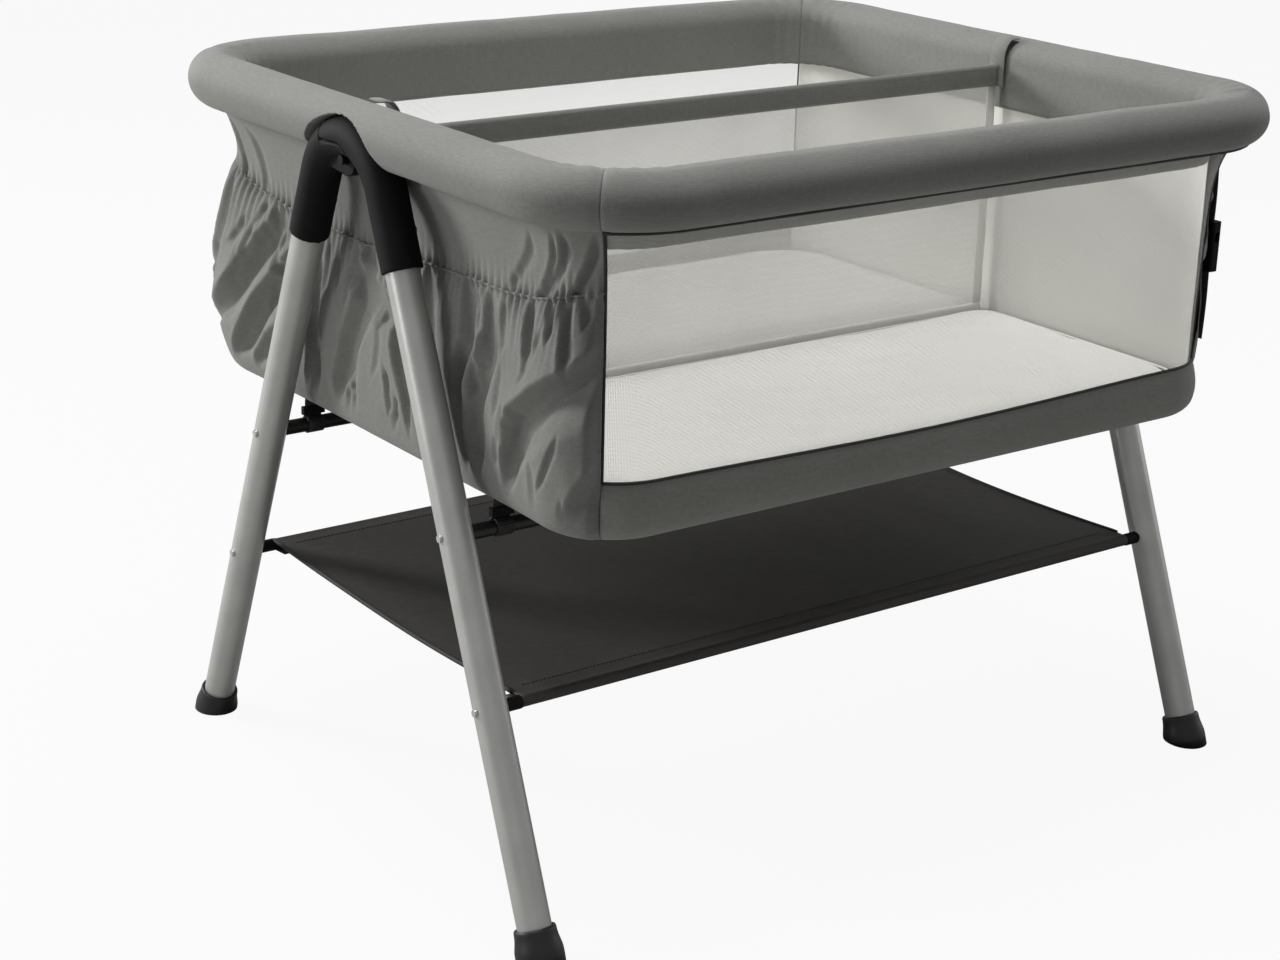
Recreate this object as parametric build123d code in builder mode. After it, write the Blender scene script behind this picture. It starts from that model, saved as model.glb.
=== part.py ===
"""Twin bassinet on a folding A-frame stand, in millimetres.

+X runs along the long side, -Y is the front with the strap side on the right, +Z is up.
The origin is on the floor under the middle of the basket.
"""

import os
from math import cos, radians, sin, tan

from build123d import *

# Rail round the top of the basket
rail_length = 956.0
rail_width = 848.0
rail_height = 780.0
rail_corner = 100.0
cover_seam_angle = 42.0
cover_seam_gap = 0.1
pad_diameter = 56.0
rail_tube_diameter = 22.0
rail_tube_wall = 1.5
facing_depth = 52.0
facing_thickness = 3.0

# Basket walls and floor
panel_inset = 29.0
panel_thickness = 3.0
mesh_thickness = 1.5
base_height = 420.0
base_rim = 26.0
base_skin = 4.0
base_round = 16.0
board_thickness = 7.6
band_height = 34.0
band_bulge = 5.0

# Mattresses and the divider between them
mattress_thickness = 26.0
mattress_gap = 6.0
mattress_crown = 5.0
mattress_draw_in = 6.0
divider_thickness = 2.0
divider_band_height = 26.0
divider_band_thickness = 9.0
divider_hem_height = 30.0
divider_hem_thickness = 6.0
strap_width = 25.0
strap_thickness = 1.4

# Gathered pocket on each end
pocket_depth = 209.0
pocket_folds = 18
pocket_fullness = 11.0
pocket_seam = 2.0

# Stand
leg_outset = 8.0
leg_diameter = 35.0
leg_wall = 1.5
leg_lean = 22.0
leg_half_gap = 46.788383
foot_diameter = 49.0
foot_collar_height = 31.0
leg_end_height = 12.0
leg_top_drop = 81.0
bar_diameter = 16.0
bar_drop = 30.0
rod_diameter = 8.0
shelf_height = 230.0
shelf_thickness = 1.6
shelf_end_gap = 34.0
hem_wall = 2.0
ferrule_diameter = 14.0

# Folding hub on each end
pivot_drop = 54.0
pivot_diameter = 10.0
knuckle_radius = 17.0
arch_drop = 32.0
arch_split_angle = 62.0
web_angle = 45.0
web_radius = 14.0
cheek_inset = 10.0
lap_outset = 7.0
hub_outset = 20.0
hub_bevel = 3.0
socket_diameter = 42.0
socket_drop = 148.0
rail_sleeve_diameter = 29.0
rail_sleeve_half_length = 48.0

# Strap with a side-release buckle on the right end
buckle_y = -313.0
buckle_inset = 9.3
buckle_drop = 190.0
buckle_length = 34.0
buckle_width = 32.0
buckle_depth = 12.0
plug_length = 22.0
prong_length = 22.0
strap_tail_drop = 290.0

# Fasteners
bolt_diameter = 6.0
bolt_head_diameter = 9.0
bolt_head_height = 2.4
bolt_grip = 12.0
screw_diameter = 4.0
leg_screw_drop = 112.0
rail_screw_offset = 30.0
tie_inset = 45.0
tie_width = 20.0
slider_height = 9.0

# Clearances
slip = 0.1
running = 0.05
gap = 0.3
cover_clearance = 1.3

# Worked-out places
rail_half_x = (rail_length - pad_diameter) / 2
rail_half_y = (rail_width - pad_diameter) / 2
rail_z = rail_height - pad_diameter / 2
pad_radius = pad_diameter / 2
facing_inset = panel_inset + panel_thickness + gap
inner_inset = panel_inset + panel_thickness
floor_z = base_height + base_skin + board_thickness + gap
lean_tan = tan(radians(leg_lean))
lean_sin = sin(radians(leg_lean))
lean_cos = cos(radians(leg_lean))
leg_radius = leg_diameter / 2
socket_radius = socket_diameter / 2
base_rim_height = base_height + base_rim
band_top = base_rim_height + band_height
pocket_top = base_rim_height + pocket_depth
bar_height = base_height - bar_drop
leg_x = rail_half_x + leg_outset
cheek_inner_x = leg_x - cheek_inset
lap_x = leg_x + lap_outset
hub_outer_x = leg_x + hub_outset
buckle_x = rail_half_x - buckle_inset
tie_x = rail_half_x - tie_inset
shelf_half_length = leg_x - shelf_end_gap
pivot_height = rail_height - pivot_drop
arch_height = rail_height - arch_drop
socket_bottom_height = rail_height - socket_drop
leg_top_height = rail_height - leg_top_drop
leg_screw_height = rail_height - leg_screw_drop
buckle_bottom = rail_height - buckle_drop
strap_tail_bottom = rail_height - strap_tail_drop
foot_half_spread = leg_half_gap + lean_tan * arch_height
arch_radius = leg_half_gap / (lean_cos - lean_tan * (1 - lean_sin))
arch_centre_z = arch_height - arch_radius

SIDES = {"left": -1, "right": 1}
ENDS = {"front": -1, "back": 1}

# Each wall by the way it faces, the corners it starts and stops at going anticlockwise,
# and how far it goes round them
WALLS = {
    "front": (-90, (-1, -1), (1, -1), cover_seam_angle),
    "right": (0, (1, -1), (1, 1), 90 - cover_seam_angle),
    "back": (90, (1, 1), (-1, 1), cover_seam_angle),
    "left": (180, (-1, 1), (-1, -1), 90 - cover_seam_angle),
}


def leg_y(height):
    return foot_half_spread - height * lean_tan


def leg_plane(side, end, height):
    """Plane square to a leg's axis at that height, with +Z up the leg."""
    return Plane(
        origin=(side * leg_x, end * leg_y(height), height),
        x_dir=(1, 0, 0),
        z_dir=(0, -end * lean_sin, lean_cos),
    )


def end_plane(x, height):
    """Upright plane across the basket, with +Y along its own X and +Z along its own Y."""
    return Plane(origin=(x, 0, height), x_dir=(0, 1, 0), z_dir=(1, 0, 0))


def write(part, name):
    part.label = name
    export_step(part, f"parts/{name}.step")


def outline(inset):
    """Rounded rectangle of the basket, that far inside the rail's centre line."""
    return RectangleRounded(
        2 * (rail_half_x - inset), 2 * (rail_half_y - inset), rail_corner - inset
    )


def wall_path(wall, inset, height):
    """Line along one wall, anticlockwise, with its share of the two corners."""
    facing, first, last, share = WALLS[wall]
    radius = rail_corner - inset
    sweep_angle = share - cover_seam_gap
    out_x = radius * cos(radians(facing))
    out_y = radius * sin(radians(facing))
    centres = []
    for corner in (first, last):
        centres.append(
            (
                corner[0] * (rail_half_x - rail_corner),
                corner[1] * (rail_half_y - rail_corner),
                height,
            )
        )
    with BuildLine() as path:
        CenterArc(centres[0], radius, facing - sweep_angle, sweep_angle)
        Line(
            (centres[0][0] + out_x, centres[0][1] + out_y, height),
            (centres[1][0] + out_x, centres[1][1] + out_y, height),
        )
        CenterArc(centres[1], radius, facing, sweep_angle)
    return path.line


def wall_start(path):
    """Upright plane at the start of a wall's line, its own X pointing into the basket."""
    along = path % 0
    return Plane(origin=path @ 0, x_dir=(-along.Y, along.X, 0), z_dir=along)


# Rail: two bent tubes that meet in the hubs, and four padded covers


def make_rail_tube(end):
    corner_y = end * rail_half_y
    with BuildPart() as tube:
        with BuildLine() as path:
            FilletPolyline(
                (-rail_half_x, end * gap, rail_z),
                (-rail_half_x, corner_y, rail_z),
                (rail_half_x, corner_y, rail_z),
                (rail_half_x, end * gap, rail_z),
                radius=rail_corner,
            )
        with BuildSketch(Plane(origin=path.line @ 0, z_dir=path.line % 0)):
            Circle(rail_tube_diameter / 2)
            Circle(rail_tube_diameter / 2 - rail_tube_wall, mode=Mode.SUBTRACT)
        sweep(path=path.line)
        for side in SIDES.values():
            with BuildSketch(screw_plane(side, end)):
                Circle(screw_diameter / 2 + running)
            extrude(amount=side * rail_tube_diameter / 2, mode=Mode.SUBTRACT)
    return tube.part


def screw_plane(side, end):
    """Where a rail screw starts, on the inner face of the hub's sleeve."""
    return Plane(
        origin=(
            side * (rail_half_x - rail_sleeve_diameter / 2),
            end * rail_screw_offset,
            rail_z,
        ),
        x_dir=(0, 1, 0),
        z_dir=(1, 0, 0),
    )


def pad_profile():
    """Padded tube with the facing that hangs inside the basket, on its +X side."""
    outer = facing_inset + facing_thickness
    with BuildSketch() as profile:
        Circle(pad_radius)
        with BuildLine():
            Polyline(
                (0, pad_radius),
                (facing_inset, pad_radius / 2),
                (outer, pad_radius / 3),
                (outer, -facing_depth),
                (facing_inset, -facing_depth),
                (facing_inset, pad_radius / 6),
                (0, pad_radius / 6),
                close=True,
            )
        make_face()
        Circle(rail_tube_diameter / 2 + slip, mode=Mode.SUBTRACT)
    return profile.sketch


def make_side_pad(wall):
    path = wall_path(wall, 0, rail_z)
    with BuildPart() as pad:
        with BuildSketch(wall_start(path)):
            add(pad_profile())
        sweep(path=path)
    return pad.part


def make_end_pad(wall):
    side = SIDES[wall]
    with BuildPart() as pad:
        add(make_side_pad(wall))
        with BuildSketch(
            end_plane(side * (rail_half_x - rail_sleeve_diameter / 2 - slip), arch_centre_z)
        ):
            Circle(arch_radius + socket_radius + cover_clearance)
        extrude(amount=side * pad_diameter, mode=Mode.SUBTRACT)
        with BuildSketch(
            Plane(origin=(side * rail_half_x, 0, rail_z), x_dir=(1, 0, 0), z_dir=(0, 1, 0))
        ):
            Circle(rail_sleeve_diameter / 2 + slip)
        extrude(amount=rail_sleeve_half_length + slip, both=True, mode=Mode.SUBTRACT)
    return pad.part


# Basket walls, floor and pockets


def make_end_panel(wall):
    path = wall_path(wall, panel_inset, base_rim_height + slip)
    with BuildPart() as panel:
        with BuildSketch(wall_start(path)):
            Rectangle(
                panel_thickness,
                rail_z - base_rim_height - slip,
                align=(Align.MIN, Align.MIN),
            )
        sweep(path=path)
    return panel.part


def make_mesh(wall):
    path = wall_path(wall, panel_inset + (panel_thickness - mesh_thickness) / 2, band_top + slip)
    with BuildPart() as mesh:
        with BuildSketch(wall_start(path)):
            Rectangle(mesh_thickness, rail_z - band_top - slip, align=(Align.MIN, Align.MIN))
        sweep(path=path)
    return mesh.part


def make_lower_band(wall):
    path = wall_path(wall, panel_inset, base_rim_height + slip)
    height = band_top - base_rim_height - slip
    with BuildPart() as band:
        with BuildSketch(wall_start(path)):
            with BuildLine():
                Line((0, 0), (panel_thickness, 0))
                Line((panel_thickness, 0), (panel_thickness, height))
                Line((panel_thickness, height), (0, height))
                ThreePointArc((0, height), (-band_bulge, height / 2), (0, 0))
            make_face()
        sweep(path=path)
    return band.part


def tray_block(inset, low, corner_round):
    """Block of the basket's plan with a rounded bottom edge, up to the rim."""
    with BuildPart() as block:
        with BuildSketch(Plane.XY.offset(low)):
            outline(inset)
        extrude(amount=base_rim_height - low)
        fillet(block.faces().sort_by(Axis.Z)[0].edges(), corner_round)
    return block.part


def make_base_cover():
    with BuildPart() as cover:
        add(tray_block(panel_inset - gap, base_height, base_round))
        add(
            tray_block(inner_inset, base_height + base_skin, base_round - base_skin),
            mode=Mode.SUBTRACT,
        )
    return cover.part


def make_base_board():
    with BuildPart() as board:
        with BuildSketch(Plane.XY.offset(base_height + base_skin)):
            outline(inner_inset + base_round - base_skin + gap)
        extrude(amount=board_thickness)
    return board.part


def pocket_section(wall, height, fullness):
    """Closed outline of the gathered pocket at one height: the panel inside, a row of folds outside."""
    inner = wall_path(wall, panel_inset - gap, height)
    seam = wall_path(wall, panel_inset - gap - pocket_seam, height)
    with BuildSketch(Plane.XY.offset(height)) as section:
        with BuildLine():
            add(inner)
            for fold in range(pocket_folds):
                start = seam @ (fold / pocket_folds)
                stop = seam @ ((fold + 1) / pocket_folds)
                middle = seam @ ((fold + 0.5) / pocket_folds)
                along = seam % ((fold + 0.5) / pocket_folds)
                out = Vector(along.Y, -along.X, 0)
                share = 0.72 + 0.28 * sin(radians(137.5 * fold))
                ThreePointArc(start, middle + out * fullness * share, stop)
            Line(inner @ 0, seam @ 0)
            Line(inner @ 1, seam @ 1)
        make_face()
    return section.sketch


def make_pocket(wall):
    low = base_rim_height + gap
    heights = (low, low + 45, (low + pocket_top) / 2, pocket_top - 30, pocket_top)
    shares = (0.35, 0.85, 1.0, 0.6, 0.25)
    sections = [
        pocket_section(wall, height, pocket_fullness * share)
        for height, share in zip(heights, shares)
    ]
    with BuildPart() as pocket:
        loft(sections)
    return pocket.part


# Mattresses and divider


def mattress_outline(end, shrink, draw_in):
    """Pad outline in plan, its four sides drawn in between the corners."""
    x = rail_half_x - inner_inset - mattress_gap - shrink
    near = end * (divider_hem_thickness / 2 + mattress_gap + shrink)
    far = end * (rail_half_y - inner_inset - mattress_gap - shrink)
    mid = (near + far) / 2
    outer = rail_corner - inner_inset
    inner = outer / 3
    with BuildSketch() as plan:
        with BuildLine():
            for side in SIDES.values():
                ThreePointArc(
                    (side * x, near + end * inner),
                    (side * (x - draw_in), mid),
                    (side * x, far - end * outer),
                )
                ThreePointArc(
                    (side * x, far - end * outer),
                    (side * (x - outer * 0.3), far - end * outer * 0.3),
                    (side * (x - outer), far),
                )
                ThreePointArc(
                    (side * (x - inner), near),
                    (side * (x - inner * 0.3), near + end * inner * 0.3),
                    (side * x, near + end * inner),
                )
            ThreePointArc((-(x - outer), far), (0, far - end * draw_in), (x - outer, far))
            ThreePointArc((-(x - inner), near), (0, near + end * draw_in / 2), (x - inner, near))
        make_face()
    return plan.sketch


def make_mattress(end):
    levels = (
        (0.0, 4.0),
        (0.3 * mattress_thickness, 0.0),
        (0.75 * mattress_thickness, 0.0),
        (mattress_thickness, 9.0),
        (mattress_thickness + 0.7 * mattress_crown, 50.0),
        (mattress_thickness + mattress_crown, 110.0),
    )
    with BuildPart() as mattress:
        for level, shrink in levels:
            with BuildSketch(Plane.XY.offset(floor_z + level)):
                add(mattress_outline(end, shrink, mattress_draw_in))
        loft(ruled=True)
    return mattress.part


divider_half_length = rail_half_x - facing_inset - facing_thickness - mattress_gap
divider_top = rail_z - gap
divider_band_bottom = divider_top - divider_band_height
divider_hem_top = floor_z + divider_hem_height


def divider_strip(low, high, thickness):
    with BuildPart() as strip:
        with BuildSketch(Plane.XY.offset(low)):
            Rectangle(2 * divider_half_length, thickness)
        extrude(amount=high - low)
    return strip.part


def make_divider_band():
    with BuildPart() as band:
        with BuildSketch(Plane.XY.offset(divider_band_bottom)):
            Rectangle(2 * divider_half_length, divider_band_thickness)
        extrude(amount=divider_band_height)
        fillet(band.edges().filter_by(Axis.X), divider_band_thickness / 3)
    return band.part


def make_divider_straps():
    start_x = divider_half_length + strap_thickness
    top_x = rail_half_x - pad_radius * 0.6
    with BuildPart() as straps:
        for side in SIDES.values():
            with BuildSketch(Plane.XZ.offset(-strap_width / 2)):
                with BuildLine():
                    FilletPolyline(
                        (side * start_x, divider_band_bottom),
                        (side * start_x, rail_z + pad_radius * 0.55),
                        (side * (start_x + pad_radius * 0.4), rail_height + strap_thickness),
                        (side * top_x, rail_height + strap_thickness),
                        radius=6,
                    )
                trace(line_width=strap_thickness)
            extrude(amount=strap_width)
    return straps.part


# Folding hubs


def arch_point(angle, radius):
    """Point of the hub's arch seen from the end, by its angle up from the back."""
    return (radius * cos(radians(angle)), arch_centre_z + radius * sin(radians(angle)))


def arch_arm(side, end, reach):
    """Round arm: up one leg's line from its socket, then over the arch by that angle."""
    x = side * leg_x
    low = (x, end * leg_y(socket_bottom_height), socket_bottom_height)
    points = []
    for angle in (leg_lean, (leg_lean + reach) / 2, reach):
        y, z = arch_point(angle, arch_radius)
        points.append((x, end * y, z))
    with BuildPart() as arm:
        with BuildLine() as path:
            Line(low, points[0])
            ThreePointArc(*points)
        with BuildSketch(leg_plane(side, end, socket_bottom_height)):
            Circle(socket_radius)
        sweep(path=path.line)
    return arm.part


def knuckle_web(grow):
    """Outline of the knuckle's flat tongue, seen from the end: from its pivot into the back arm."""
    tip_y, tip_z = arch_point(web_angle, arch_radius)
    with BuildSketch() as web:
        Circle(knuckle_radius + grow)
        with Locations((tip_y, tip_z - pivot_height)):
            Circle(web_radius + grow)
        make_hull()
    return web.sketch


def socket_bore(side, end):
    """Space that the leg's end and its screw take up in a socket."""
    with BuildPart() as bore:
        with BuildSketch(leg_plane(side, end, socket_bottom_height)):
            Circle(leg_radius + slip)
        extrude(amount=(leg_top_height + slip - socket_bottom_height) / lean_cos)
        with BuildSketch(end_plane(side * leg_x, leg_screw_height)):
            with Locations((end * leg_y(leg_screw_height), 0)):
                Circle(screw_diameter / 2 + running)
        extrude(amount=-side * socket_diameter)
    return bore.part


def make_hood(side):
    """Front half of the hub: front leg socket, arch, cheek for the pivot and rail sleeve."""
    with BuildPart() as hood:
        add(arch_arm(side, -1, 180 - arch_split_angle))
        with BuildSketch(end_plane(side * lap_x, pivot_height)):
            Circle(knuckle_radius)
            with Locations((0, arch_height - pivot_height)):
                Circle(knuckle_radius)
            make_hull()
        extrude(amount=-side * (lap_x - cheek_inner_x))
        with BuildSketch(
            Plane(origin=(side * rail_half_x, 0, rail_z), x_dir=(1, 0, 0), z_dir=(0, 1, 0))
        ):
            Circle(rail_sleeve_diameter / 2)
        extrude(amount=rail_sleeve_half_length, both=True)
        with BuildSketch(end_plane(side * lap_x, pivot_height)):
            add(knuckle_web(2 * gap))
        extrude(amount=side * socket_diameter, mode=Mode.SUBTRACT)
        with BuildSketch(
            Plane(origin=(side * rail_half_x, 0, rail_z), x_dir=(1, 0, 0), z_dir=(0, 1, 0))
        ):
            Circle(rail_tube_diameter / 2 + slip)
        extrude(amount=arch_radius + socket_radius, both=True, mode=Mode.SUBTRACT)
        add(socket_bore(side, -1), mode=Mode.SUBTRACT)
        for end in ENDS.values():
            with BuildSketch(screw_plane(side, end)):
                Circle(screw_diameter / 2 + running)
            extrude(amount=side * rail_tube_diameter / 2, mode=Mode.SUBTRACT)
        with BuildSketch(end_plane(side * lap_x, pivot_height)):
            Circle(pivot_diameter / 2 + running)
        extrude(amount=-side * (lap_x - cheek_inner_x - 4), mode=Mode.SUBTRACT)
    return hood.part


def make_knuckle(side):
    """Back half of the hub: the back leg socket and the tongue that turns on the pivot."""
    with BuildPart() as knuckle:
        with BuildSketch(end_plane(side * (lap_x + gap), pivot_height)):
            add(knuckle_web(0))
        extrude(amount=side * (hub_outer_x - lap_x - gap))
        chamfer(knuckle.faces().sort_by(Axis.X)[0 if side < 0 else -1].edges(), hub_bevel)
        add(arch_arm(side, 1, arch_split_angle - gap))
        with BuildSketch(
            Plane.XY.offset(rail_z - rail_sleeve_diameter / 2 - gap)
        ):
            with Locations((side * (lap_x + gap - socket_diameter), 0)):
                Rectangle(2 * socket_diameter, 4 * arch_radius)
        extrude(amount=socket_diameter, mode=Mode.SUBTRACT)
        add(socket_bore(side, 1), mode=Mode.SUBTRACT)
        with BuildSketch(end_plane(side * (lap_x + gap), pivot_height)):
            Circle(pivot_diameter / 2 + running)
        extrude(amount=side * (hub_outer_x - lap_x - 4), mode=Mode.SUBTRACT)
    return knuckle.part


def make_pivot_pins():
    with BuildPart() as pins:
        for side in SIDES.values():
            with BuildSketch(end_plane(side * (cheek_inner_x + 4.5), pivot_height)):
                Circle(pivot_diameter / 2)
            extrude(amount=side * (hub_outer_x - 5 - cheek_inner_x - 4.5))
    return pins.part


# Legs, feet, bars and shelf


def make_leg(side, end):
    with BuildPart() as leg:
        with BuildSketch(leg_plane(side, end, leg_end_height)):
            Circle(leg_radius)
            Circle(leg_radius - leg_wall, mode=Mode.SUBTRACT)
        extrude(amount=(leg_top_height - leg_end_height) / lean_cos)
        for height in (bar_height, shelf_height):
            with BuildSketch(end_plane(side * leg_x, height)):
                with Locations((end * leg_y(height), 0)):
                    Circle(bolt_diameter / 2 + slip)
            extrude(amount=leg_diameter, both=True, mode=Mode.SUBTRACT)
        with BuildSketch(end_plane(side * leg_x, leg_screw_height)):
            with Locations((end * leg_y(leg_screw_height), 0)):
                Circle(screw_diameter / 2 + running)
        extrude(amount=-side * leg_diameter, mode=Mode.SUBTRACT)
    return leg.part


def make_foot(side, end):
    floor_point = (side * leg_x, end * foot_half_spread, 0)
    axis = (0, -end * lean_sin, lean_cos)
    bore = leg_radius + slip
    leg_end = leg_end_height / lean_cos
    foot_radius = foot_diameter / 2
    with BuildPart() as foot:
        with BuildSketch(
            Plane(origin=floor_point, x_dir=(1, 0, 0), z_dir=(0, -lean_cos, -end * lean_sin))
        ):
            with BuildLine():
                Polyline(
                    (bore, foot_collar_height),
                    (bore, leg_end),
                    (0, leg_end),
                    (0, -leg_end),
                    (foot_radius, -leg_end),
                    (foot_radius, leg_end * 0.6),
                )
                ThreePointArc(
                    (foot_radius, leg_end * 0.6),
                    (foot_radius * 0.92, foot_collar_height * 0.72),
                    (bore + 3, foot_collar_height),
                )
                Line((bore + 3, foot_collar_height), (bore, foot_collar_height))
            make_face()
        revolve(axis=Axis(floor_point, axis))
        split(bisect_by=Plane.XY, keep=Keep.TOP)
    return foot.part


def make_cross_tube(end, height, diameter, inner_diameter):
    """Tube along X between the two legs of one frame, coped to them, with tapped ends."""
    reach = leg_x
    y = end * leg_y(height)
    with BuildPart() as tube:
        with BuildSketch(Plane.YZ.offset(-reach)):
            with Locations((y, height)):
                Circle(diameter / 2)
        extrude(amount=2 * reach)
        for side in SIDES.values():
            with BuildSketch(leg_plane(side, end, height - diameter * 2)):
                Circle(leg_radius + running)
            extrude(amount=diameter * 5, mode=Mode.SUBTRACT)
            with BuildSketch(end_plane(side * leg_x, height)):
                with Locations((y, 0)):
                    Circle(inner_diameter / 2 + running)
            extrude(
                amount=-side * (leg_radius + bolt_grip + 2), mode=Mode.SUBTRACT
            )
    return tube.part


def make_ferrules(end):
    with BuildPart() as ferrules:
        for side in SIDES.values():
            with BuildSketch(Plane.YZ.offset(side * (shelf_half_length + gap))):
                with Locations((end * leg_y(shelf_height), shelf_height)):
                    Circle(ferrule_diameter / 2)
                    Circle(rod_diameter / 2 + running, mode=Mode.SUBTRACT)
            extrude(amount=side * (leg_x - shelf_half_length))
            with BuildSketch(leg_plane(side, end, shelf_height - ferrule_diameter * 2)):
                Circle(leg_radius + running)
            extrude(amount=ferrule_diameter * 5, mode=Mode.SUBTRACT)
    return ferrules.part


def make_shelf_fabric():
    hem_bore = rod_diameter / 2 + 2 * slip
    with BuildPart() as shelf:
        with BuildSketch(Plane.YZ.offset(-shelf_half_length)):
            with Locations((0, shelf_height)):
                Rectangle(2 * leg_y(shelf_height), shelf_thickness)
            for end in ENDS.values():
                with Locations((end * leg_y(shelf_height), shelf_height)):
                    Circle(hem_bore + hem_wall)
            for end in ENDS.values():
                with Locations((end * leg_y(shelf_height), shelf_height)):
                    Circle(hem_bore, mode=Mode.SUBTRACT)
        extrude(amount=2 * shelf_half_length)
    return shelf.part


def make_bolts(end):
    """Bolts through the two legs of one frame, into the bar and the shelf rod."""
    with BuildPart() as bolts:
        for side in SIDES.values():
            for height, diameter in (
                (bar_height, bolt_diameter),
                (shelf_height, rod_diameter / 2),
            ):
                y = end * leg_y(height)
                with BuildSketch(end_plane(side * (leg_x + leg_radius), height)):
                    with Locations((y, 0)):
                        Circle(diameter / 2)
                extrude(amount=-side * (leg_diameter + bolt_grip))
                with BuildSketch(end_plane(side * (leg_x + leg_radius), height)):
                    with Locations((y, 0)):
                        Circle(bolt_head_diameter / 2)
                extrude(amount=side * bolt_head_height, taper=20)
    return bolts.part


def make_leg_screws(end):
    start = leg_x - socket_radius
    with BuildPart() as screws:
        for side in SIDES.values():
            with BuildSketch(end_plane(side * start, leg_screw_height)):
                with Locations((end * leg_y(leg_screw_height), 0)):
                    Circle(screw_diameter / 2)
            extrude(amount=side * (socket_radius - leg_radius + leg_wall * 2))
            with BuildSketch(end_plane(side * start, leg_screw_height)):
                with Locations((end * leg_y(leg_screw_height), 0)):
                    Circle(screw_diameter)
            extrude(amount=-side * screw_diameter / 2)
    return screws.part


def make_rail_screws():
    with BuildPart() as screws:
        for side in SIDES.values():
            for end in ENDS.values():
                with BuildSketch(screw_plane(side, end)):
                    Circle(screw_diameter / 2)
                extrude(
                    amount=side * (rail_sleeve_diameter - rail_tube_diameter + 2 * rail_tube_wall) / 2
                )
    return screws.part


# Webbing ties that hold the basket's floor down to the bars


def make_ties(end):
    loop = bar_diameter / 2 + slip
    tail = base_height - gap - bar_height
    with BuildPart() as ties:
        for side in SIDES.values():
            with BuildSketch(Plane.YZ.offset(side * tie_x)):
                with Locations((end * leg_y(bar_height), bar_height)):
                    Circle(loop + strap_thickness)
                    Rectangle(
                        strap_thickness, tail, align=(Align.CENTER, Align.MIN)
                    )
                    Circle(loop, mode=Mode.SUBTRACT)
            extrude(amount=tie_width / 2, both=True)
    return ties.part


def make_sliders(end):
    low = bar_height + bar_diameter / 2 + strap_thickness + 2
    with BuildPart() as sliders:
        for side in SIDES.values():
            with BuildSketch(Plane.XY.offset(low)):
                with Locations((side * tie_x, end * leg_y(bar_height))):
                    Rectangle(tie_width + 6, strap_thickness + 5)
                    Rectangle(
                        tie_width + slip * 2, strap_thickness + slip * 2, mode=Mode.SUBTRACT
                    )
            extrude(amount=slider_height)
    return sliders.part


# Strap and buckle


def buckle_box(width, depth):
    with Locations((buckle_x + strap_thickness / 2 + buckle_depth / 2 - 3, buckle_y)):
        Rectangle(depth, width)


def strap_slot(clearance, mode):
    with Locations((buckle_x, buckle_y)):
        Rectangle(strap_thickness + 2 * clearance, strap_width + 2 * clearance, mode=mode)


buckle_top = buckle_bottom + buckle_length
cavity_depth = buckle_depth - 6.0
cavity_width = buckle_width - 7.0
plug_top = buckle_bottom - gap
plug_bottom = plug_top - plug_length
slot_depth = 8.0


def make_anchor_strap():
    with BuildPart() as strap:
        with BuildSketch(Plane.XY.offset(buckle_top - slot_depth + gap)):
            strap_slot(0, Mode.ADD)
        extrude(amount=rail_z - pad_radius - 2 * gap - buckle_top + slot_depth)
    return strap.part


def make_buckle_socket():
    with BuildPart() as socket:
        with BuildSketch(Plane.XY.offset(buckle_bottom)):
            buckle_box(buckle_width, buckle_depth)
        extrude(amount=buckle_length)
        fillet(socket.edges().filter_by(Axis.Z), 2.5)
        with BuildSketch(Plane.XY.offset(buckle_bottom)):
            buckle_box(cavity_width, cavity_depth)
        extrude(amount=prong_length + 1, mode=Mode.SUBTRACT)
        with BuildSketch(Plane.XY.offset(buckle_bottom + prong_length / 2)):
            buckle_box(buckle_width + 4, cavity_depth)
        extrude(amount=prong_length / 2, mode=Mode.SUBTRACT)
        with BuildSketch(Plane.XY.offset(buckle_top - slot_depth)):
            strap_slot(slip, Mode.ADD)
        extrude(amount=slot_depth, mode=Mode.SUBTRACT)
    return socket.part


def make_buckle_plug():
    prong = 4.0
    with BuildPart() as plug:
        with BuildSketch(Plane.XY.offset(plug_bottom)):
            buckle_box(buckle_width, buckle_depth)
        extrude(amount=plug_length)
        fillet(plug.edges().filter_by(Axis.Z), 2.5)
        with BuildSketch(Plane.XY.offset(plug_top)):
            for offset in (-1, 0, 1):
                with Locations((0, offset * (cavity_width - prong) / 2 * 0.9)):
                    buckle_box(prong, cavity_depth - 1)
        extrude(amount=prong_length)
        with BuildSketch(Plane.XY.offset(plug_bottom)):
            strap_slot(slip, Mode.ADD)
        extrude(amount=slot_depth, mode=Mode.SUBTRACT)
    return plug.part


def make_strap_tail():
    with BuildPart() as tail:
        with BuildSketch(Plane.XY.offset(strap_tail_bottom)):
            strap_slot(0, Mode.ADD)
        extrude(amount=plug_bottom + slot_depth - gap - strap_tail_bottom)
    return tail.part


os.makedirs("parts", exist_ok=True)

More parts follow.
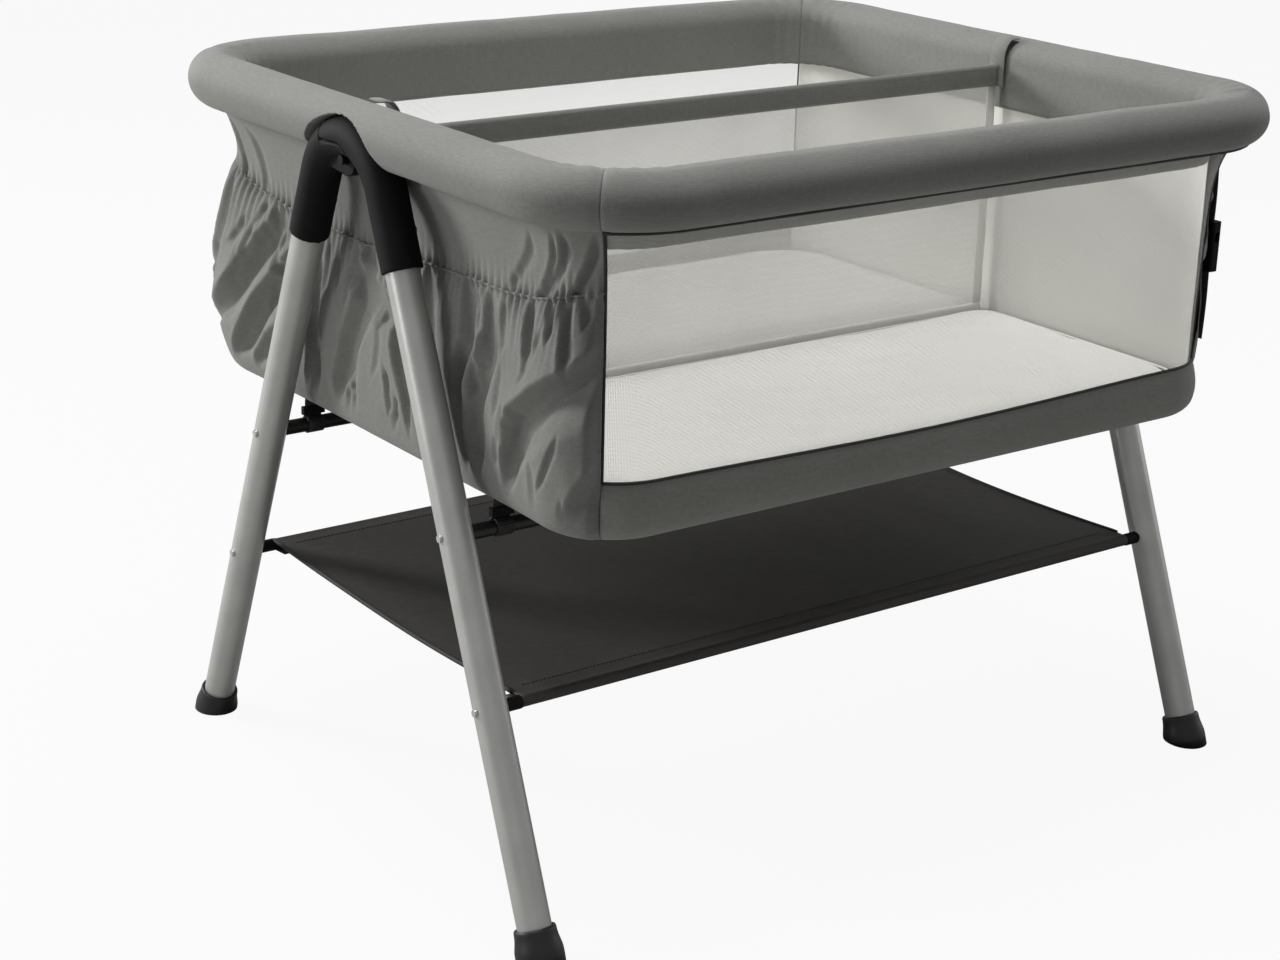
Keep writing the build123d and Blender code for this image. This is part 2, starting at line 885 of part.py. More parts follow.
for end_name, end in ENDS.items():
    write(make_rail_tube(end), f"rail_tube_{end_name}")
    write(make_side_pad(end_name), f"rail_pad_{end_name}")
    write(make_mesh(end_name), f"mesh_window_{end_name}")
    write(make_lower_band(end_name), f"lower_band_{end_name}")
    write(make_mattress(end), f"mattress_{end_name}")
    write(make_cross_tube(end, bar_height, bar_diameter, bolt_diameter), f"cross_bar_{end_name}")
    write(make_cross_tube(end, shelf_height, rod_diameter, rod_diameter / 2), f"shelf_rod_{end_name}")
    write(make_ferrules(end), f"rod_ferrules_{end_name}")
    write(make_bolts(end), f"leg_bolts_{end_name}")
    write(make_leg_screws(end), f"socket_screws_{end_name}")
    write(make_ties(end), f"floor_ties_{end_name}")
    write(make_sliders(end), f"tie_sliders_{end_name}")
    for side_name, side in SIDES.items():
        write(make_leg(side, end), f"leg_{end_name}_{side_name}")
        write(make_foot(side, end), f"foot_{end_name}_{side_name}")

for side_name, side in SIDES.items():
    write(make_end_pad(side_name), f"rail_pad_{side_name}")
    write(make_end_panel(side_name), f"end_panel_{side_name}")
    write(make_pocket(side_name), f"end_pocket_{side_name}")
    write(make_hood(side), f"hub_hood_{side_name}")
    write(make_knuckle(side), f"hub_knuckle_{side_name}")

write(make_pivot_pins(), "pivot_pins")
write(make_rail_screws(), "rail_screws")
write(make_base_cover(), "base_cover")
write(make_base_board(), "base_board")
write(make_shelf_fabric(), "shelf_fabric")
write(divider_strip(divider_hem_top, divider_band_bottom, divider_thickness), "divider_mesh")
write(divider_strip(floor_z, divider_hem_top, divider_hem_thickness), "divider_hem")
write(make_divider_band(), "divider_band")
write(make_divider_straps(), "divider_straps")
write(make_anchor_strap(), "anchor_strap")
write(make_buckle_socket(), "buckle_socket")
write(make_buckle_plug(), "buckle_plug")
write(make_strap_tail(), "strap_tail")
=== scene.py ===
import math
import random

import bmesh
import bpy
import numpy as np
from mathutils import Matrix, Vector, noise


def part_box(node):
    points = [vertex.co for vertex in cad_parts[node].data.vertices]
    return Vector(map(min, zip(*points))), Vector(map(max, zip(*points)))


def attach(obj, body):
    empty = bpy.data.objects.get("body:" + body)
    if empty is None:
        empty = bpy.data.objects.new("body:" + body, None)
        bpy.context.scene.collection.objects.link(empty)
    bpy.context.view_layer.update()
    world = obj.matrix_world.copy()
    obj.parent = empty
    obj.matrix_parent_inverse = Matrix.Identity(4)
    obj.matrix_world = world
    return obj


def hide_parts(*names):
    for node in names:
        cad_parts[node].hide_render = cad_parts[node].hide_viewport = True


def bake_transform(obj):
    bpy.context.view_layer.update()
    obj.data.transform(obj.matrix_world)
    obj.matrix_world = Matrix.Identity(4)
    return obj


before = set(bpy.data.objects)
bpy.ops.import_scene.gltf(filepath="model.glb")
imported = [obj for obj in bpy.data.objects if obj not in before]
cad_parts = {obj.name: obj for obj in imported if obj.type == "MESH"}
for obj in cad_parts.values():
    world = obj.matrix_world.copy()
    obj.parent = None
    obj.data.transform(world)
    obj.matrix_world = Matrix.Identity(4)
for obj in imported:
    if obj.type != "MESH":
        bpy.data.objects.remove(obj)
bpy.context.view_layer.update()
scene = bpy.context.scene
basketBody = "basket_and_front_legs"
legBody = "back_legs"
print("frame loaded:", len(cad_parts), "nodes")

# mesh helpers


def smoothStep(value):
    value = np.clip(value, 0.0, 1.0)
    return value * value * (3.0 - 2.0 * value)


def ripple(points, scale, seed=0.0):
    # smooth noise from -1 to 1 at each point, with features about `scale` metres across
    flat = np.asarray(points, float).reshape(-1, 3) / scale + seed
    return np.array([noise.noise(Vector(p)) for p in flat]).reshape(np.shape(points)[:-1])


def linkMesh(name, verts, faces, material):
    mesh = bpy.data.meshes.new(name)
    mesh.from_pydata([tuple(v) for v in verts], [], faces)
    mesh.update()
    mesh.polygons.foreach_set("use_smooth", [True] * len(mesh.polygons))
    mesh.materials.append(material)
    piece = bpy.data.objects.new(name, mesh)
    scene.collection.objects.link(piece)
    return piece


def gridFaces(rows, columns, closeRows=False, closeColumns=False, start=0):
    faces = []
    for i in range(rows if closeRows else rows - 1):
        for j in range(columns if closeColumns else columns - 1):
            a, b = i * columns, ((i + 1) % rows) * columns
            k = (j + 1) % columns
            faces.append((start + a + j, start + b + j, start + b + k, start + a + k))
    return faces


def gridPiece(name, points, material, closeColumns=False, caps=False):
    rows, columns = points.shape[:2]
    faces = gridFaces(rows, columns, closeColumns=closeColumns)
    if caps:
        faces.append(tuple(range(columns)))
        faces.append(tuple(reversed(range((rows - 1) * columns, rows * columns))))
    return linkMesh(name, points.reshape(-1, 3), faces, material)


def carry(piece, body, node=None):
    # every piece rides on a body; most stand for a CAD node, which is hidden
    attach(piece, body)
    if node:
        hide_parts(node)


def fixNormals(piece):
    work = bmesh.new()
    work.from_mesh(piece.data)
    bmesh.ops.recalc_face_normals(work, faces=work.faces)
    work.to_mesh(piece.data)
    work.free()
    return piece


def applyModifiers(piece):
    graph = bpy.context.evaluated_depsgraph_get()
    made = bpy.data.meshes.new_from_object(piece.evaluated_get(graph))
    piece.modifiers.clear()
    old = piece.data
    piece.data = made
    bpy.data.meshes.remove(old)
    return piece


def thicken(piece, thickness, offset=-1.0):
    shell = piece.modifiers.new("cloth thickness", "SOLIDIFY")
    shell.thickness, shell.offset = thickness, offset
    return applyModifiers(piece)


def subdivide(piece, levels=1):
    finer = piece.modifiers.new("finer", "SUBSURF")
    finer.levels = finer.render_levels = levels
    return applyModifiers(piece)


def clothPiece(name, points, material, thickness):
    # cloth through a grid of points, thickened to both sides
    return thicken(fixNormals(gridPiece(name, points, material)), thickness, 0.0)


def ringAt(plan, height):
    return np.concatenate([plan, np.full((len(plan), 1), height)], axis=1)


def swept(xs, section):
    # a section of (y, z) carried along x
    points = np.zeros((len(xs), len(section), 3))
    points[..., 0] = xs[:, None]
    points[..., 1:] = np.array(section)[None]
    return points


def roundedLoop(corners, perCorner, count):
    # points at even steps round an outline of corner arcs, each (centre x, centre y, first angle, radius)
    runs = []
    for x, y, turn, radius in corners:
        for angle in np.radians(np.linspace(turn, turn + 90, perCorner)):
            runs.append((x + radius * math.cos(angle), y + radius * math.sin(angle)))
    runs = np.array(runs + runs[:1])
    reach = np.concatenate([[0], np.cumsum(np.linalg.norm(np.diff(runs, axis=0), axis=1))])
    spots = np.linspace(0, reach[-1], count, endpoint=False)
    return np.stack([np.interp(spots, reach, runs[:, k]) for k in range(2)], axis=1)


def tubeAlong(path, radius, sides=8, closed=False):
    # verts and faces of a round tube that follows the points of path
    path = [Vector(p) for p in path]
    count = len(path)
    verts = []
    normal = None
    for i, here in enumerate(path):
        ahead = path[(i + 1) % count] if closed else path[min(i + 1, count - 1)]
        behind = path[i - 1] if closed or i else path[0]
        along = (ahead - behind).normalized()
        if normal is None:
            normal = along.orthogonal().normalized()
        normal = (normal - along * normal.dot(along)).normalized()
        across = along.cross(normal)
        for k in range(sides):
            turn = 2 * math.pi * k / sides
            verts.append(here + (normal * math.cos(turn) + across * math.sin(turn)) * radius)
    faces = gridFaces(count, sides, closeRows=closed, closeColumns=True)
    if not closed:
        faces.append(tuple(reversed(range(sides))))
        faces.append(tuple(range((count - 1) * sides, count * sides)))
    return verts, faces


def tubePiece(name, paths, radius, material, sides=8, closed=False):
    verts, faces = [], []
    for path in paths:
        newVerts, newFaces = tubeAlong(path, radius, sides, closed)
        faces += [tuple(len(verts) + i for i in face) for face in newFaces]
        verts += newVerts
    return fixNormals(linkMesh(name, verts, faces, material))


def stitchPiece(name, rows, material, pitch=0.005, length=0.0032, radius=0.00045):
    # one short thread for each stitch, lying on the cloth along each row of points
    paths = []
    for row in rows:
        row = [Vector(p) for p in row]
        steps = np.array([(b - a).length for a, b in zip(row, row[1:])])
        reach = np.concatenate([[0.0], np.cumsum(steps)])
        coords = np.array(row)

        def at(distance):
            return Vector([np.interp(distance, reach, coords[:, k]) for k in range(3)])

        for k in range(int(reach[-1] / pitch)):
            a = k * pitch
            paths.append([at(a), at(a + length / 2), at(a + length)])
    return tubePiece(name, paths, radius, material, sides=5)


# materials


def linear(hexText):
    channels = [int(hexText[i:i + 2], 16) / 255 for i in (1, 3, 5)]
    return [c / 12.92 if c <= 0.04045 else ((c + 0.055) / 1.055) ** 2.4 for c in channels] + [1.0]


def feed(node, inputs):
    # a node gives its first output and a socket itself; any other value is set directly
    for key, value in inputs.items():
        if isinstance(value, bpy.types.Node):
            value = value.outputs[0]
        if isinstance(value, bpy.types.NodeSocket):
            node.id_data.links.new(value, node.inputs[key])
        else:
            node.inputs[key].default_value = value


def addNode(tree, kind, inputs=None, stops=(), **settings):
    made = tree.nodes.new("ShaderNode" + kind)
    for key, value in settings.items():
        setattr(made, key, value)
    for k, (position, hexText) in enumerate(stops):
        stop = made.color_ramp.elements[k]
        stop.position, stop.color = position, linear(hexText)
    feed(made, inputs or {})
    return made


def newMaterial(name, **values):
    material = bpy.data.materials.new(name)
    material.use_nodes = True
    tree = material.node_tree
    shader = next(n for n in tree.nodes if n.type == "BSDF_PRINCIPLED")
    feed(shader, {key.replace("_", " "): value for key, value in values.items()})
    place = addNode(tree, "TexCoord").outputs["Object"]
    return material, tree, shader, place


rampEnds = (0.3, 0.7)  # most of a noise lies between these
# patches in a metre: dye and wear 143 mm across, net 91 mm, moulded gloss 40 mm, turning marks 1.1 mm
perMetre = dict(dye=7.0, net=11.0, gloss=25.0, turning=900.0)


def clothMaterial(name, low, high, threadMm, slubMm, roughness, relief, sheen=0.0):
    # plain weave: warp and weft threads from two noises drawn out along and across the cloth,
    # and a slow change of tone from dyeing and wear
    material, tree, shader, place = newMaterial(
        name, Roughness=roughness, Sheen_Weight=sheen, Sheen_Roughness=0.5)
    fine, slub = 1000.0 / threadMm, 1000.0 / slubMm
    warp = addNode(tree, "Mapping", {"Vector": place, "Scale": (fine, fine, slub)})
    weft = addNode(tree, "Mapping", {"Vector": place, "Scale": (slub, slub, fine)})
    warpTone = addNode(tree, "TexNoise", {"Vector": warp, "Scale": 1.0, "Detail": 1.0})
    weftTone = addNode(tree, "TexNoise", {"Vector": weft, "Scale": 1.0, "Detail": 1.0})
    threads = addNode(tree, "Math", {0: warpTone, 1: weftTone}, operation="ADD")
    wear = addNode(tree, "TexNoise", {"Vector": place, "Scale": perMetre["dye"], "Detail": 2.0})
    wearShare = addNode(tree, "Math", {0: wear, 1: 0.3}, operation="MULTIPLY")
    mixed = addNode(tree, "Math", {0: threads, 1: 0.35, 2: wearShare}, operation="MULTIPLY_ADD")
    tone = addNode(tree, "ValToRGB", {"Fac": mixed}, zip(rampEnds, (low, high)))
    bump = addNode(tree, "Bump", {"Height": threads, "Strength": relief, "Distance": threadMm / 2000.0})
    feed(shader, {"Base Color": tone, "Normal": bump})
    return material


# solution-dyed polyester, woven: matt grey with a faint heather of lighter and darker threads;
# the real 0.4 mm thread is drawn at 1.1 mm so that it shows
greyCloth = clothMaterial("polyester cloth, grey", "#6c6d69", "#81827e", 1.1, 9.0, 0.86, 0.35, 0.12)
# the same cloth over a thin foam on the lower bands, painted a shade lighter: painted light for the extra
# light the bands catch, not a lighter cloth
paintedLightBandCloth = clothMaterial("polyester cloth, grey, painted lighter", "#7a7b76", "#8f908b", 1.1, 9.0, 0.86, 0.35, 0.12)
# the same cloth in charcoal, coated on the back, for the shelf
charcoalCloth = clothMaterial("coated polyester, charcoal", "#2f2d2b", "#413e3b", 1.2, 12.0, 0.72, 0.4)
# white polyester lining, thin and a little glossy
liningCloth = clothMaterial("polyester lining, white", "#dddcd7", "#eae9e4", 1.0, 7.0, 0.6, 0.25)
# brushed polyester jersey over foam: warm white, soft
jerseyCloth = clothMaterial("brushed jersey, white", "#e4e3de", "#f0efea", 1.4, 3.0, 0.9, 0.3, 0.2)
# woven bias binding, black, folded over cut edges
bindingCloth = clothMaterial("polyester binding, black", "#121211", "#22211f", 0.9, 3.0, 0.7, 0.4)


def netMaterial(name, hexText, pitchMm, openShare):
    # warp-knitted net: a white yarn grid with open cells; the real 1 mm cell is about as drawn
    material, tree, shader, place = newMaterial(name, Roughness=0.75)
    split = addNode(tree, "SeparateXYZ", {"Vector": place})
    waves = []
    for axis in ("X", "Z"):
        angle = addNode(tree, "Math", {0: split.outputs[axis], 1: math.pi * 1000.0 / pitchMm},
                        operation="MULTIPLY")
        wave = addNode(tree, "Math", {0: angle}, operation="SINE")
        waves.append(addNode(tree, "Math", {0: wave}, operation="ABSOLUTE"))
    cell = addNode(tree, "Math", {0: waves[0], 1: waves[1]}, operation="MULTIPLY")
    cover = addNode(tree, "MapRange", {"Value": cell, "From Min": 0.04, "From Max": 0.1,
                                       "To Min": 1.0, "To Max": 1.0 - openShare})
    patches = addNode(tree, "TexNoise", {"Vector": place, "Scale": perMetre["net"], "Detail": 2.0})
    tone = addNode(tree, "ValToRGB", {"Fac": patches}, zip(rampEnds, (hexText, "#faf9f6")))
    feed(shader, {"Base Color": tone, "Alpha": cover})
    return material


windowNet = netMaterial("polyester net, white", "#f4f3f0", 1.3, 0.96)
dividerNet = netMaterial("polyester net, white, dense", "#f0efec", 1.3, 0.60)


def mouldedMaterial(name, low, high, grainMm, roughness, relief, metal=0.0, shine=0.5):
    # moulded plastic or rubber: spark-eroded mould texture, slightly uneven gloss
    material, tree, shader, place = newMaterial(name, Roughness=roughness, Metallic=metal,
                                                Specular_IOR_Level=shine)
    grain = addNode(tree, "TexNoise", {"Vector": place, "Scale": 1000.0 / grainMm, "Detail": 3.0})
    slow = addNode(tree, "TexNoise", {"Vector": place, "Scale": perMetre["gloss"], "Detail": 2.0})
    tone = addNode(tree, "ValToRGB", {"Fac": slow}, zip(rampEnds, (low, high)))
    gloss = addNode(tree, "MapRange", {"Value": grain, "To Min": roughness - 0.08,
                                       "To Max": roughness + 0.08})
    bump = addNode(tree, "Bump", {"Height": grain, "Strength": relief, "Distance": grainMm / 3000.0})
    feed(shader, {"Base Color": tone, "Roughness": gloss, "Normal": bump})
    return material


# glass-filled nylon, moulded: near black with a fine matt grain
nylonBlack = mouldedMaterial("glass-filled nylon, black", "#0e0e0f", "#151516", 0.9, 0.66, 0.20, shine=0.12)
# EPDM rubber, moulded: dark grey-black, dull
rubberBlack = mouldedMaterial("moulded rubber, black", "#151414", "#1e1d1d", 1.4, 0.46, 0.15, shine=0.4)
# powder coat on steel tube: faint orange peel under a satin surface
powderSilver = mouldedMaterial("powder coat on steel, silver grey", "#b2b3b0", "#bcbdb9", 2.2, 0.36, 0.08,
                               metal=0.4)
powderBlack = mouldedMaterial("powder coat on steel, black", "#141414", "#1d1d1c", 2.2, 0.38, 0.12)
# pressed hardboard floor of the basket, mostly hidden by the mattresses
boardWood = mouldedMaterial("hardboard, brown", "#6f5a43", "#84705a", 3.0, 0.7, 0.2)


def zincMaterial():
    # zinc-plated steel: bright metal with fine turning marks and a dull bloom
    material, tree, shader, place = newMaterial("zinc-plated steel", Metallic=1.0)
    marks = addNode(tree, "TexNoise", {"Vector": place, "Scale": perMetre["turning"], "Detail": 2.0})
    tone = addNode(tree, "ValToRGB", {"Fac": marks}, zip(rampEnds, ("#9c9c98", "#b9b9b4")))
    gloss = addNode(tree, "MapRange", {"Value": marks, "To Min": 0.28, "To Max": 0.48})
    feed(shader, {"Base Color": tone, "Roughness": gloss})
    return material


zincSteel = zincMaterial()


def webbingMaterial():
    # polypropylene webbing: ribs across the strap every 1.6 mm and a dull shine
    ribMm, waveTurn = 1.6, 6.28  # the wave texture repeats after a full turn
    material, tree, shader, place = newMaterial("woven webbing, black", Roughness=0.62)
    ribs = addNode(tree, "TexWave", {"Vector": place, "Scale": 1000.0 / ribMm / waveTurn, "Distortion": 1.5},
                   bands_direction="Z")
    rise = ribs.outputs["Fac"]
    tone = addNode(tree, "ValToRGB", {"Fac": rise}, zip(rampEnds, ("#0e0e0e", "#232322")))
    bump = addNode(tree, "Bump", {"Height": rise, "Strength": 0.6, "Distance": 0.0004})
    feed(shader, {"Base Color": tone, "Normal": bump})
    return material


webbing = webbingMaterial()
print("materials made")

# the basket's walls: the rail's centre line, cut at the cover seams

basket = dict(halfX=0.450, halfY=0.396, corner=0.100, railZ=0.752)
walls = {  # the way a wall faces, its two corners anticlockwise, its share of each corner
    "front": (-90, (-1, -1), (1, -1), 42),
    "right": (0, (1, -1), (1, 1), 48),
    "back": (90, (1, 1), (-1, 1), 42),
    "left": (180, (-1, 1), (-1, -1), 48),
}


def wallRun(wall, step, trim):
    # points on the rail's centre line, the outward direction at each, and the distance run;
    # trim is how far a piece stops short of the seam at each end
    facing, first, last, share = walls[wall]
    radius = basket["corner"]
    turn, sweep = math.radians(facing), math.radians(share) - trim / radius
    centres = [np.array([c[0] * (basket["halfX"] - radius), c[1] * (basket["halfY"] - radius)])
               for c in (first, last)]
    straight = np.linalg.norm(centres[1] - centres[0])
    arc = radius * sweep
    total = 2 * arc + straight
    reach = np.linspace(0.0, total, max(int(total / step), 8))
    spots, outs = [], []
    for d in reach:
        if d < arc:
            angle, centre = turn - sweep + d / radius, centres[0]
        elif d <= arc + straight:
            angle = turn
            centre = centres[0] + (centres[1] - centres[0]) * (d - arc) / straight
        else:
            angle, centre = turn + (d - arc - straight) / radius, centres[1]
        out = np.array([math.cos(angle), math.sin(angle)])
        spots.append(centre + out * radius)
        outs.append(out)
    return np.array(spots), np.array(outs), reach


def wallSurface(run, inset, height):
    # points that far inside the centre line and that high, for arrays of station by row
    spots, outs, _ = run
    flat = spots[:, None, :] - outs[:, None, :] * inset[..., None]
    return np.concatenate([flat, np.broadcast_to(height, inset.shape)[..., None]], axis=2)


def pushOut(points, run, distance):
    # moves points that far along the wall's outward direction
    points[..., :2] += run[1][:, None, :] * distance[..., None]


# the hub is a round arm bent over in an arch: its middle line's arc, seen from the end
hubArch = dict(x=0.458, centreZ=0.6786, radius=0.0694, tube=0.0210, spare=0.0011, lean=math.radians(22),
               behind=0.0004)


def archDistance(y, z):
    # distance from the middle line of the arch and of the two straight arms below it
    size = hubArch
    y, up = np.abs(y), z - size["centreZ"]
    bent = np.abs(np.hypot(y, up) - size["radius"])
    straight = np.abs(y * math.cos(size["lean"]) + up * math.sin(size["lean"]) - size["radius"])
    return np.where(np.arctan2(up, np.maximum(y, 1e-9)) > size["lean"], bent, straight)


def clearHub(points):
    # soft covers are cut out round the hub's arms: what lies inside their outline goes behind them
    size = hubArch
    x = np.abs(points[..., 0])
    reach = size["tube"] + size["spare"]
    half = np.sqrt(np.maximum(reach ** 2 - archDistance(points[..., 1], points[..., 2]) ** 2, 0.0))
    inside = half > 0
    behind = np.minimum(x, size["x"] - half - size["behind"])
    points[..., 0] = np.sign(points[..., 0]) * np.where(inside, behind, x)
    return points


legRoom = dict(spread=0.349, slope=math.tan(math.radians(22)), faceX=0.4350, sweep=0.030, ease=0.05,
               spare=0.05)


def clearLegs(points):
    # cloth on the ends stays inside the room that the folding legs and their sockets sweep
    x, y, z = points[..., 0], np.abs(points[..., 1]), points[..., 2]
    legY = legRoom["spread"] - z * legRoom["slope"]
    free = smoothStep((y - legY - legRoom["sweep"]) / legRoom["ease"])
    limit = legRoom["faceX"] + legRoom["spare"] * free
    points[..., 0] = np.sign(x) * np.minimum(np.abs(x), limit)
    return points


# rail covers

railCover = dict(radius=0.0278, flapFace=0.0353, flapBack=0.0325, flapDrop=0.0515, shoulder=(0.004, 0.019),
                 crown=(0.021, 0.004), step=0.0035, endStep=0.0012, trim=0.0002, middle=(0.006, 0.0),
                 wave=0.0007, waveLong=0.11, waveShort=0.035, crease=0.0011, creasePitch=0.0115,
                 pinch=0.0011, pinchLength=0.006)


def coverSection():
    # closed outline across the rail: the flap's face, over the top, round the tube, up behind the flap
    size = railCover
    r, face = size["radius"], size["flapFace"]
    low, high = size["shoulder"]
    points = [(face, w) for w in np.linspace(-size["flapDrop"], low, 14)]
    a, b = np.array((face, low)), np.array((face, high))
    c, d = (np.array((inwards, r)) for inwards in size["crown"])
    for t in np.linspace(0.1, 1.0, 10):
        bend = a * (1 - t) ** 3 + 3 * b * t * (1 - t) ** 2 + 3 * c * t * t * (1 - t) + d * t ** 3
        points.append(tuple(bend))
    for angle in np.radians(np.linspace(90, 338, 110)):
        points.append((r * math.cos(angle), r * math.sin(angle)))
    points += [(size["flapBack"], w) for w in np.linspace(-0.009, -size["flapDrop"], 10)]
    return np.array(points)


def makeRailCover(wall):
    size = railCover
    # the ends are finer, so that the cut-out round the hub has a clean edge
    run = wallRun(wall, size["endStep" if wall in ("left", "right") else "step"], size["trim"])
    section = coverSection()
    count = len(run[2])
    middle = size["middle"]
    inset = np.repeat(section[None, :, 0], count, 0)
    height = np.repeat(section[None, :, 1], count, 0)
    # the ends of a cover pull in a little where it is sewn to the next one
    fromEnd = np.minimum(run[2], run[2][-1] - run[2])
    pull = size["pinch"] * np.exp(-(fromEnd / size["pinchLength"]) ** 2)[:, None]
    tubePart = (np.hypot(section[:, 0], section[:, 1]) < size["radius"] * 1.15)[None, :]
    across = np.hypot(inset - middle[0], height - middle[1])
    inset = inset - np.where(tubePart, (inset - middle[0]) / across * pull, 0.0)
    height = height - np.where(tubePart, (height - middle[1]) / across * pull, 0.0)
    points = wallSurface(run, inset, height + basket["railZ"])
    # foam under the cloth is never quite even, and the corners crease on their inner side
    outward = np.stack([-(inset / across), height / across], axis=2)
    soft = (ripple(points, size["waveLong"], 3.7) * size["wave"] * 1.6
            + ripple(points, size["waveShort"], 9.1) * size["wave"] * 0.5)
    arc = basket["corner"] * math.radians(walls[wall][3])
    inCorner = smoothStep((arc + 0.03 - fromEnd) / 0.06)[:, None]
    folds = np.sin(run[2] / size["creasePitch"] * math.pi)[:, None] * inCorner
    inner = smoothStep((inset + 0.004) / 0.02)
    soft = soft + folds * inner * size["crease"] * (0.6 + 0.4 * ripple(points, 0.05, 1.3))
    soft = np.where(tubePart, soft, soft * 0.6)  # the flap is flatter
    pushOut(points, run, -outward[..., 0] * soft)
    points[..., 2] += outward[..., 1] * soft
    if wall in ("left", "right"):
        points = clearHub(points)
    name = wall + "RailCover"
    piece = fixNormals(gridPiece(name, points, greyCloth, closeColumns=True, caps=True))
    carry(piece, basketBody, "rail_pad_" + wall)


for wall in walls:
    makeRailCover(wall)
print("rail covers made")

# end panels, linings and gathered pockets

tray = dict(inset=0.0296, top=0.4466, low=0.4204, round=0.016, thickness=0.0030, around=420,
            wallOut=0.0012, wallZ=0.4415, under=(0.055, 0.070, 0.085, 0.095), wave=0.0008)
wallCloth = dict(inset=0.0292, flare=0.0245, flareFall=0.030, top=0.7265, low=0.4462, thickness=0.0014,
                 trim=0.0004)


def flaredInset(height):
    # the cloth leaves the underside of the rail and draws in towards the frame below it
    below = wallCloth["top"] - height
    return wallCloth["inset"] - wallCloth["flare"] * np.exp(-below / wallCloth["flareFall"])


def frontShare(wall, reach):
    # 0 at the back seam of an end wall, 1 at its front seam
    share = reach / reach[-1]
    return share if wall == "left" else 1.0 - share


# height of the pocket's elastic mouth, from the back seam to the front seam
elastic = dict(share=(0.0, 0.06, 0.15, 0.25, 0.45, 0.60, 0.70, 0.80, 0.87, 0.94, 1.0),
               height=(0.664, 0.657, 0.640, 0.631, 0.628, 0.634, 0.637, 0.638, 0.644, 0.655, 0.662))


def elasticHeight(share):
    return np.interp(share, elastic["share"], elastic["height"])


pocket = dict(low=0.4205, bulge=0.0090, cornerBulge=0.013, backBulge=0.010, gather=0.0030,
              gatherPitch=0.0115, gatherReach=0.022, step=0.0024, rows=100, thickness=0.0012, behind=0.0008,
              leastDepth=0.0016, holdLow=0.436, holdRise=0.030, holdMouth=0.012, sewnBack=0.02, smallFolds=44,
              wrinkle=0.0007, wrinkleLength=0.016, elasticRadius=0.0014, elasticOut=0.0022)
endPanel = dict(split=(0.600, 0.604), rows=(12, 60), topEase=0.02, mouthReach=0.009, gather=0.0035,
                ridge=0.0022, loose=0.004, give=0.0004)
lining = dict(inset=0.0314, top=0.742, rows=40, thickness=0.0006, ease=0.0004)
# the two ends are sewn alike and hang differently: where the folds fall, fullness, reach of the front seam
ends = dict(left=dict(seed=5, smallSeed=23, loose=0.002, full=1.0, sewnFront=0.02),
            right=dict(seed=11, smallSeed=29, loose=0.012, full=0.35, sewnFront=0.12))
# folds of the gathered cloth: a crest as (share from back to front, height), how far the cloth falls
# behind it, over what width, and over what width it comes back; shares in thousandths, the rest in mm
pocketFolds = [
    ([(215, 650), (199, 616), (150, 580), (111, 546), (60, 506), (20, 470)], 15, 22, 22),
    ([(290, 640), (272, 602), (231, 572), (175, 529), (114, 469), (85, 435)], 14, 20, 20),
    ([(260, 520), (226, 503), (190, 490), (164, 461), (150, 430)], 9, 14, 14),
    ([(200, 610), (219, 566), (235, 541), (242, 500), (245, 430)], 6, 10, 12),
    ([(215, 670), (217, 634), (222, 601), (226, 575)], 7, 9, 10),
    ([(305, 660), (310, 590), (300, 530), (305, 470), (310, 425)], 9, 16, 16),
    ([(462, 650), (456, 610), (434, 570), (400, 529), (377, 481), (366, 425)], 13, 26, 16),
    ([(580, 565), (541, 586), (497, 600), (461, 614), (430, 640)], 11, 24, 24),
    ([(548, 610), (541, 565), (535, 538), (540, 515), (559, 489), (575, 425)], 8, 13, 16),
    ([(610, 660), (605, 590), (615, 520), (640, 440)], 8, 16, 20),
    ([(700, 670), (705, 640), (710, 584), (687, 547), (682, 522), (697, 494), (730, 425)], 11, 15, 16),
    ([(752, 670), (754, 616), (746, 574), (722, 532), (717, 507), (732, 459), (742, 425)], 12, 22, 16),
    ([(1060, 640), (990, 617), (951, 593), (889, 566), (832, 535), (816, 515), (812, 480),
      (802, 425)], 20, 26, 34),
    ([(1060, 560), (992, 507), (968, 482), (930, 425)], 10, 18, 26),
    ([(846, 670), (850, 635), (856, 600), (862, 570)], 7, 9, 11),
    ([(894, 675), (903, 632), (910, 605)], 6, 8, 10),
    ([(922, 680), (932, 640), (940, 605), (946, 580)], 7, 9, 11),
    ([(954, 685), (963, 647), (968, 625)], 6, 8, 10),
    ([(60, 680), (55, 600), (30, 540), (10, 480)], 8, 14, 16),
]
# the same for the smooth band above the elastic, where its gathers pull near the front seam
bandFolds = [
    ([(935, 730), (926, 700), (914, 682), (884, 655), (865, 632)], 6, 9, 10),
    ([(987, 730), (977, 703), (965, 684), (946, 659), (930, 635)], 6, 9, 10),
    ([(918, 725), (902, 690), (872, 655), (855, 632)], 4, 7, 8),
    ([(870, 715), (843, 686), (805, 648), (795, 630)], 3, 9, 12),
    ([(60, 720), (75, 690), (95, 655), (105, 635)], 4, 9, 10),
    ([(130, 715), (150, 680), (165, 645), (170, 625)], 3, 9, 10),
]
# which way the small folds lean, from the back seam to the front seam
foldLean = dict(share=(0.0, 0.25, 0.5, 0.7, 0.85, 1.0), slope=(-0.9, -0.6, -0.1, 0.1, -0.2, -0.9))


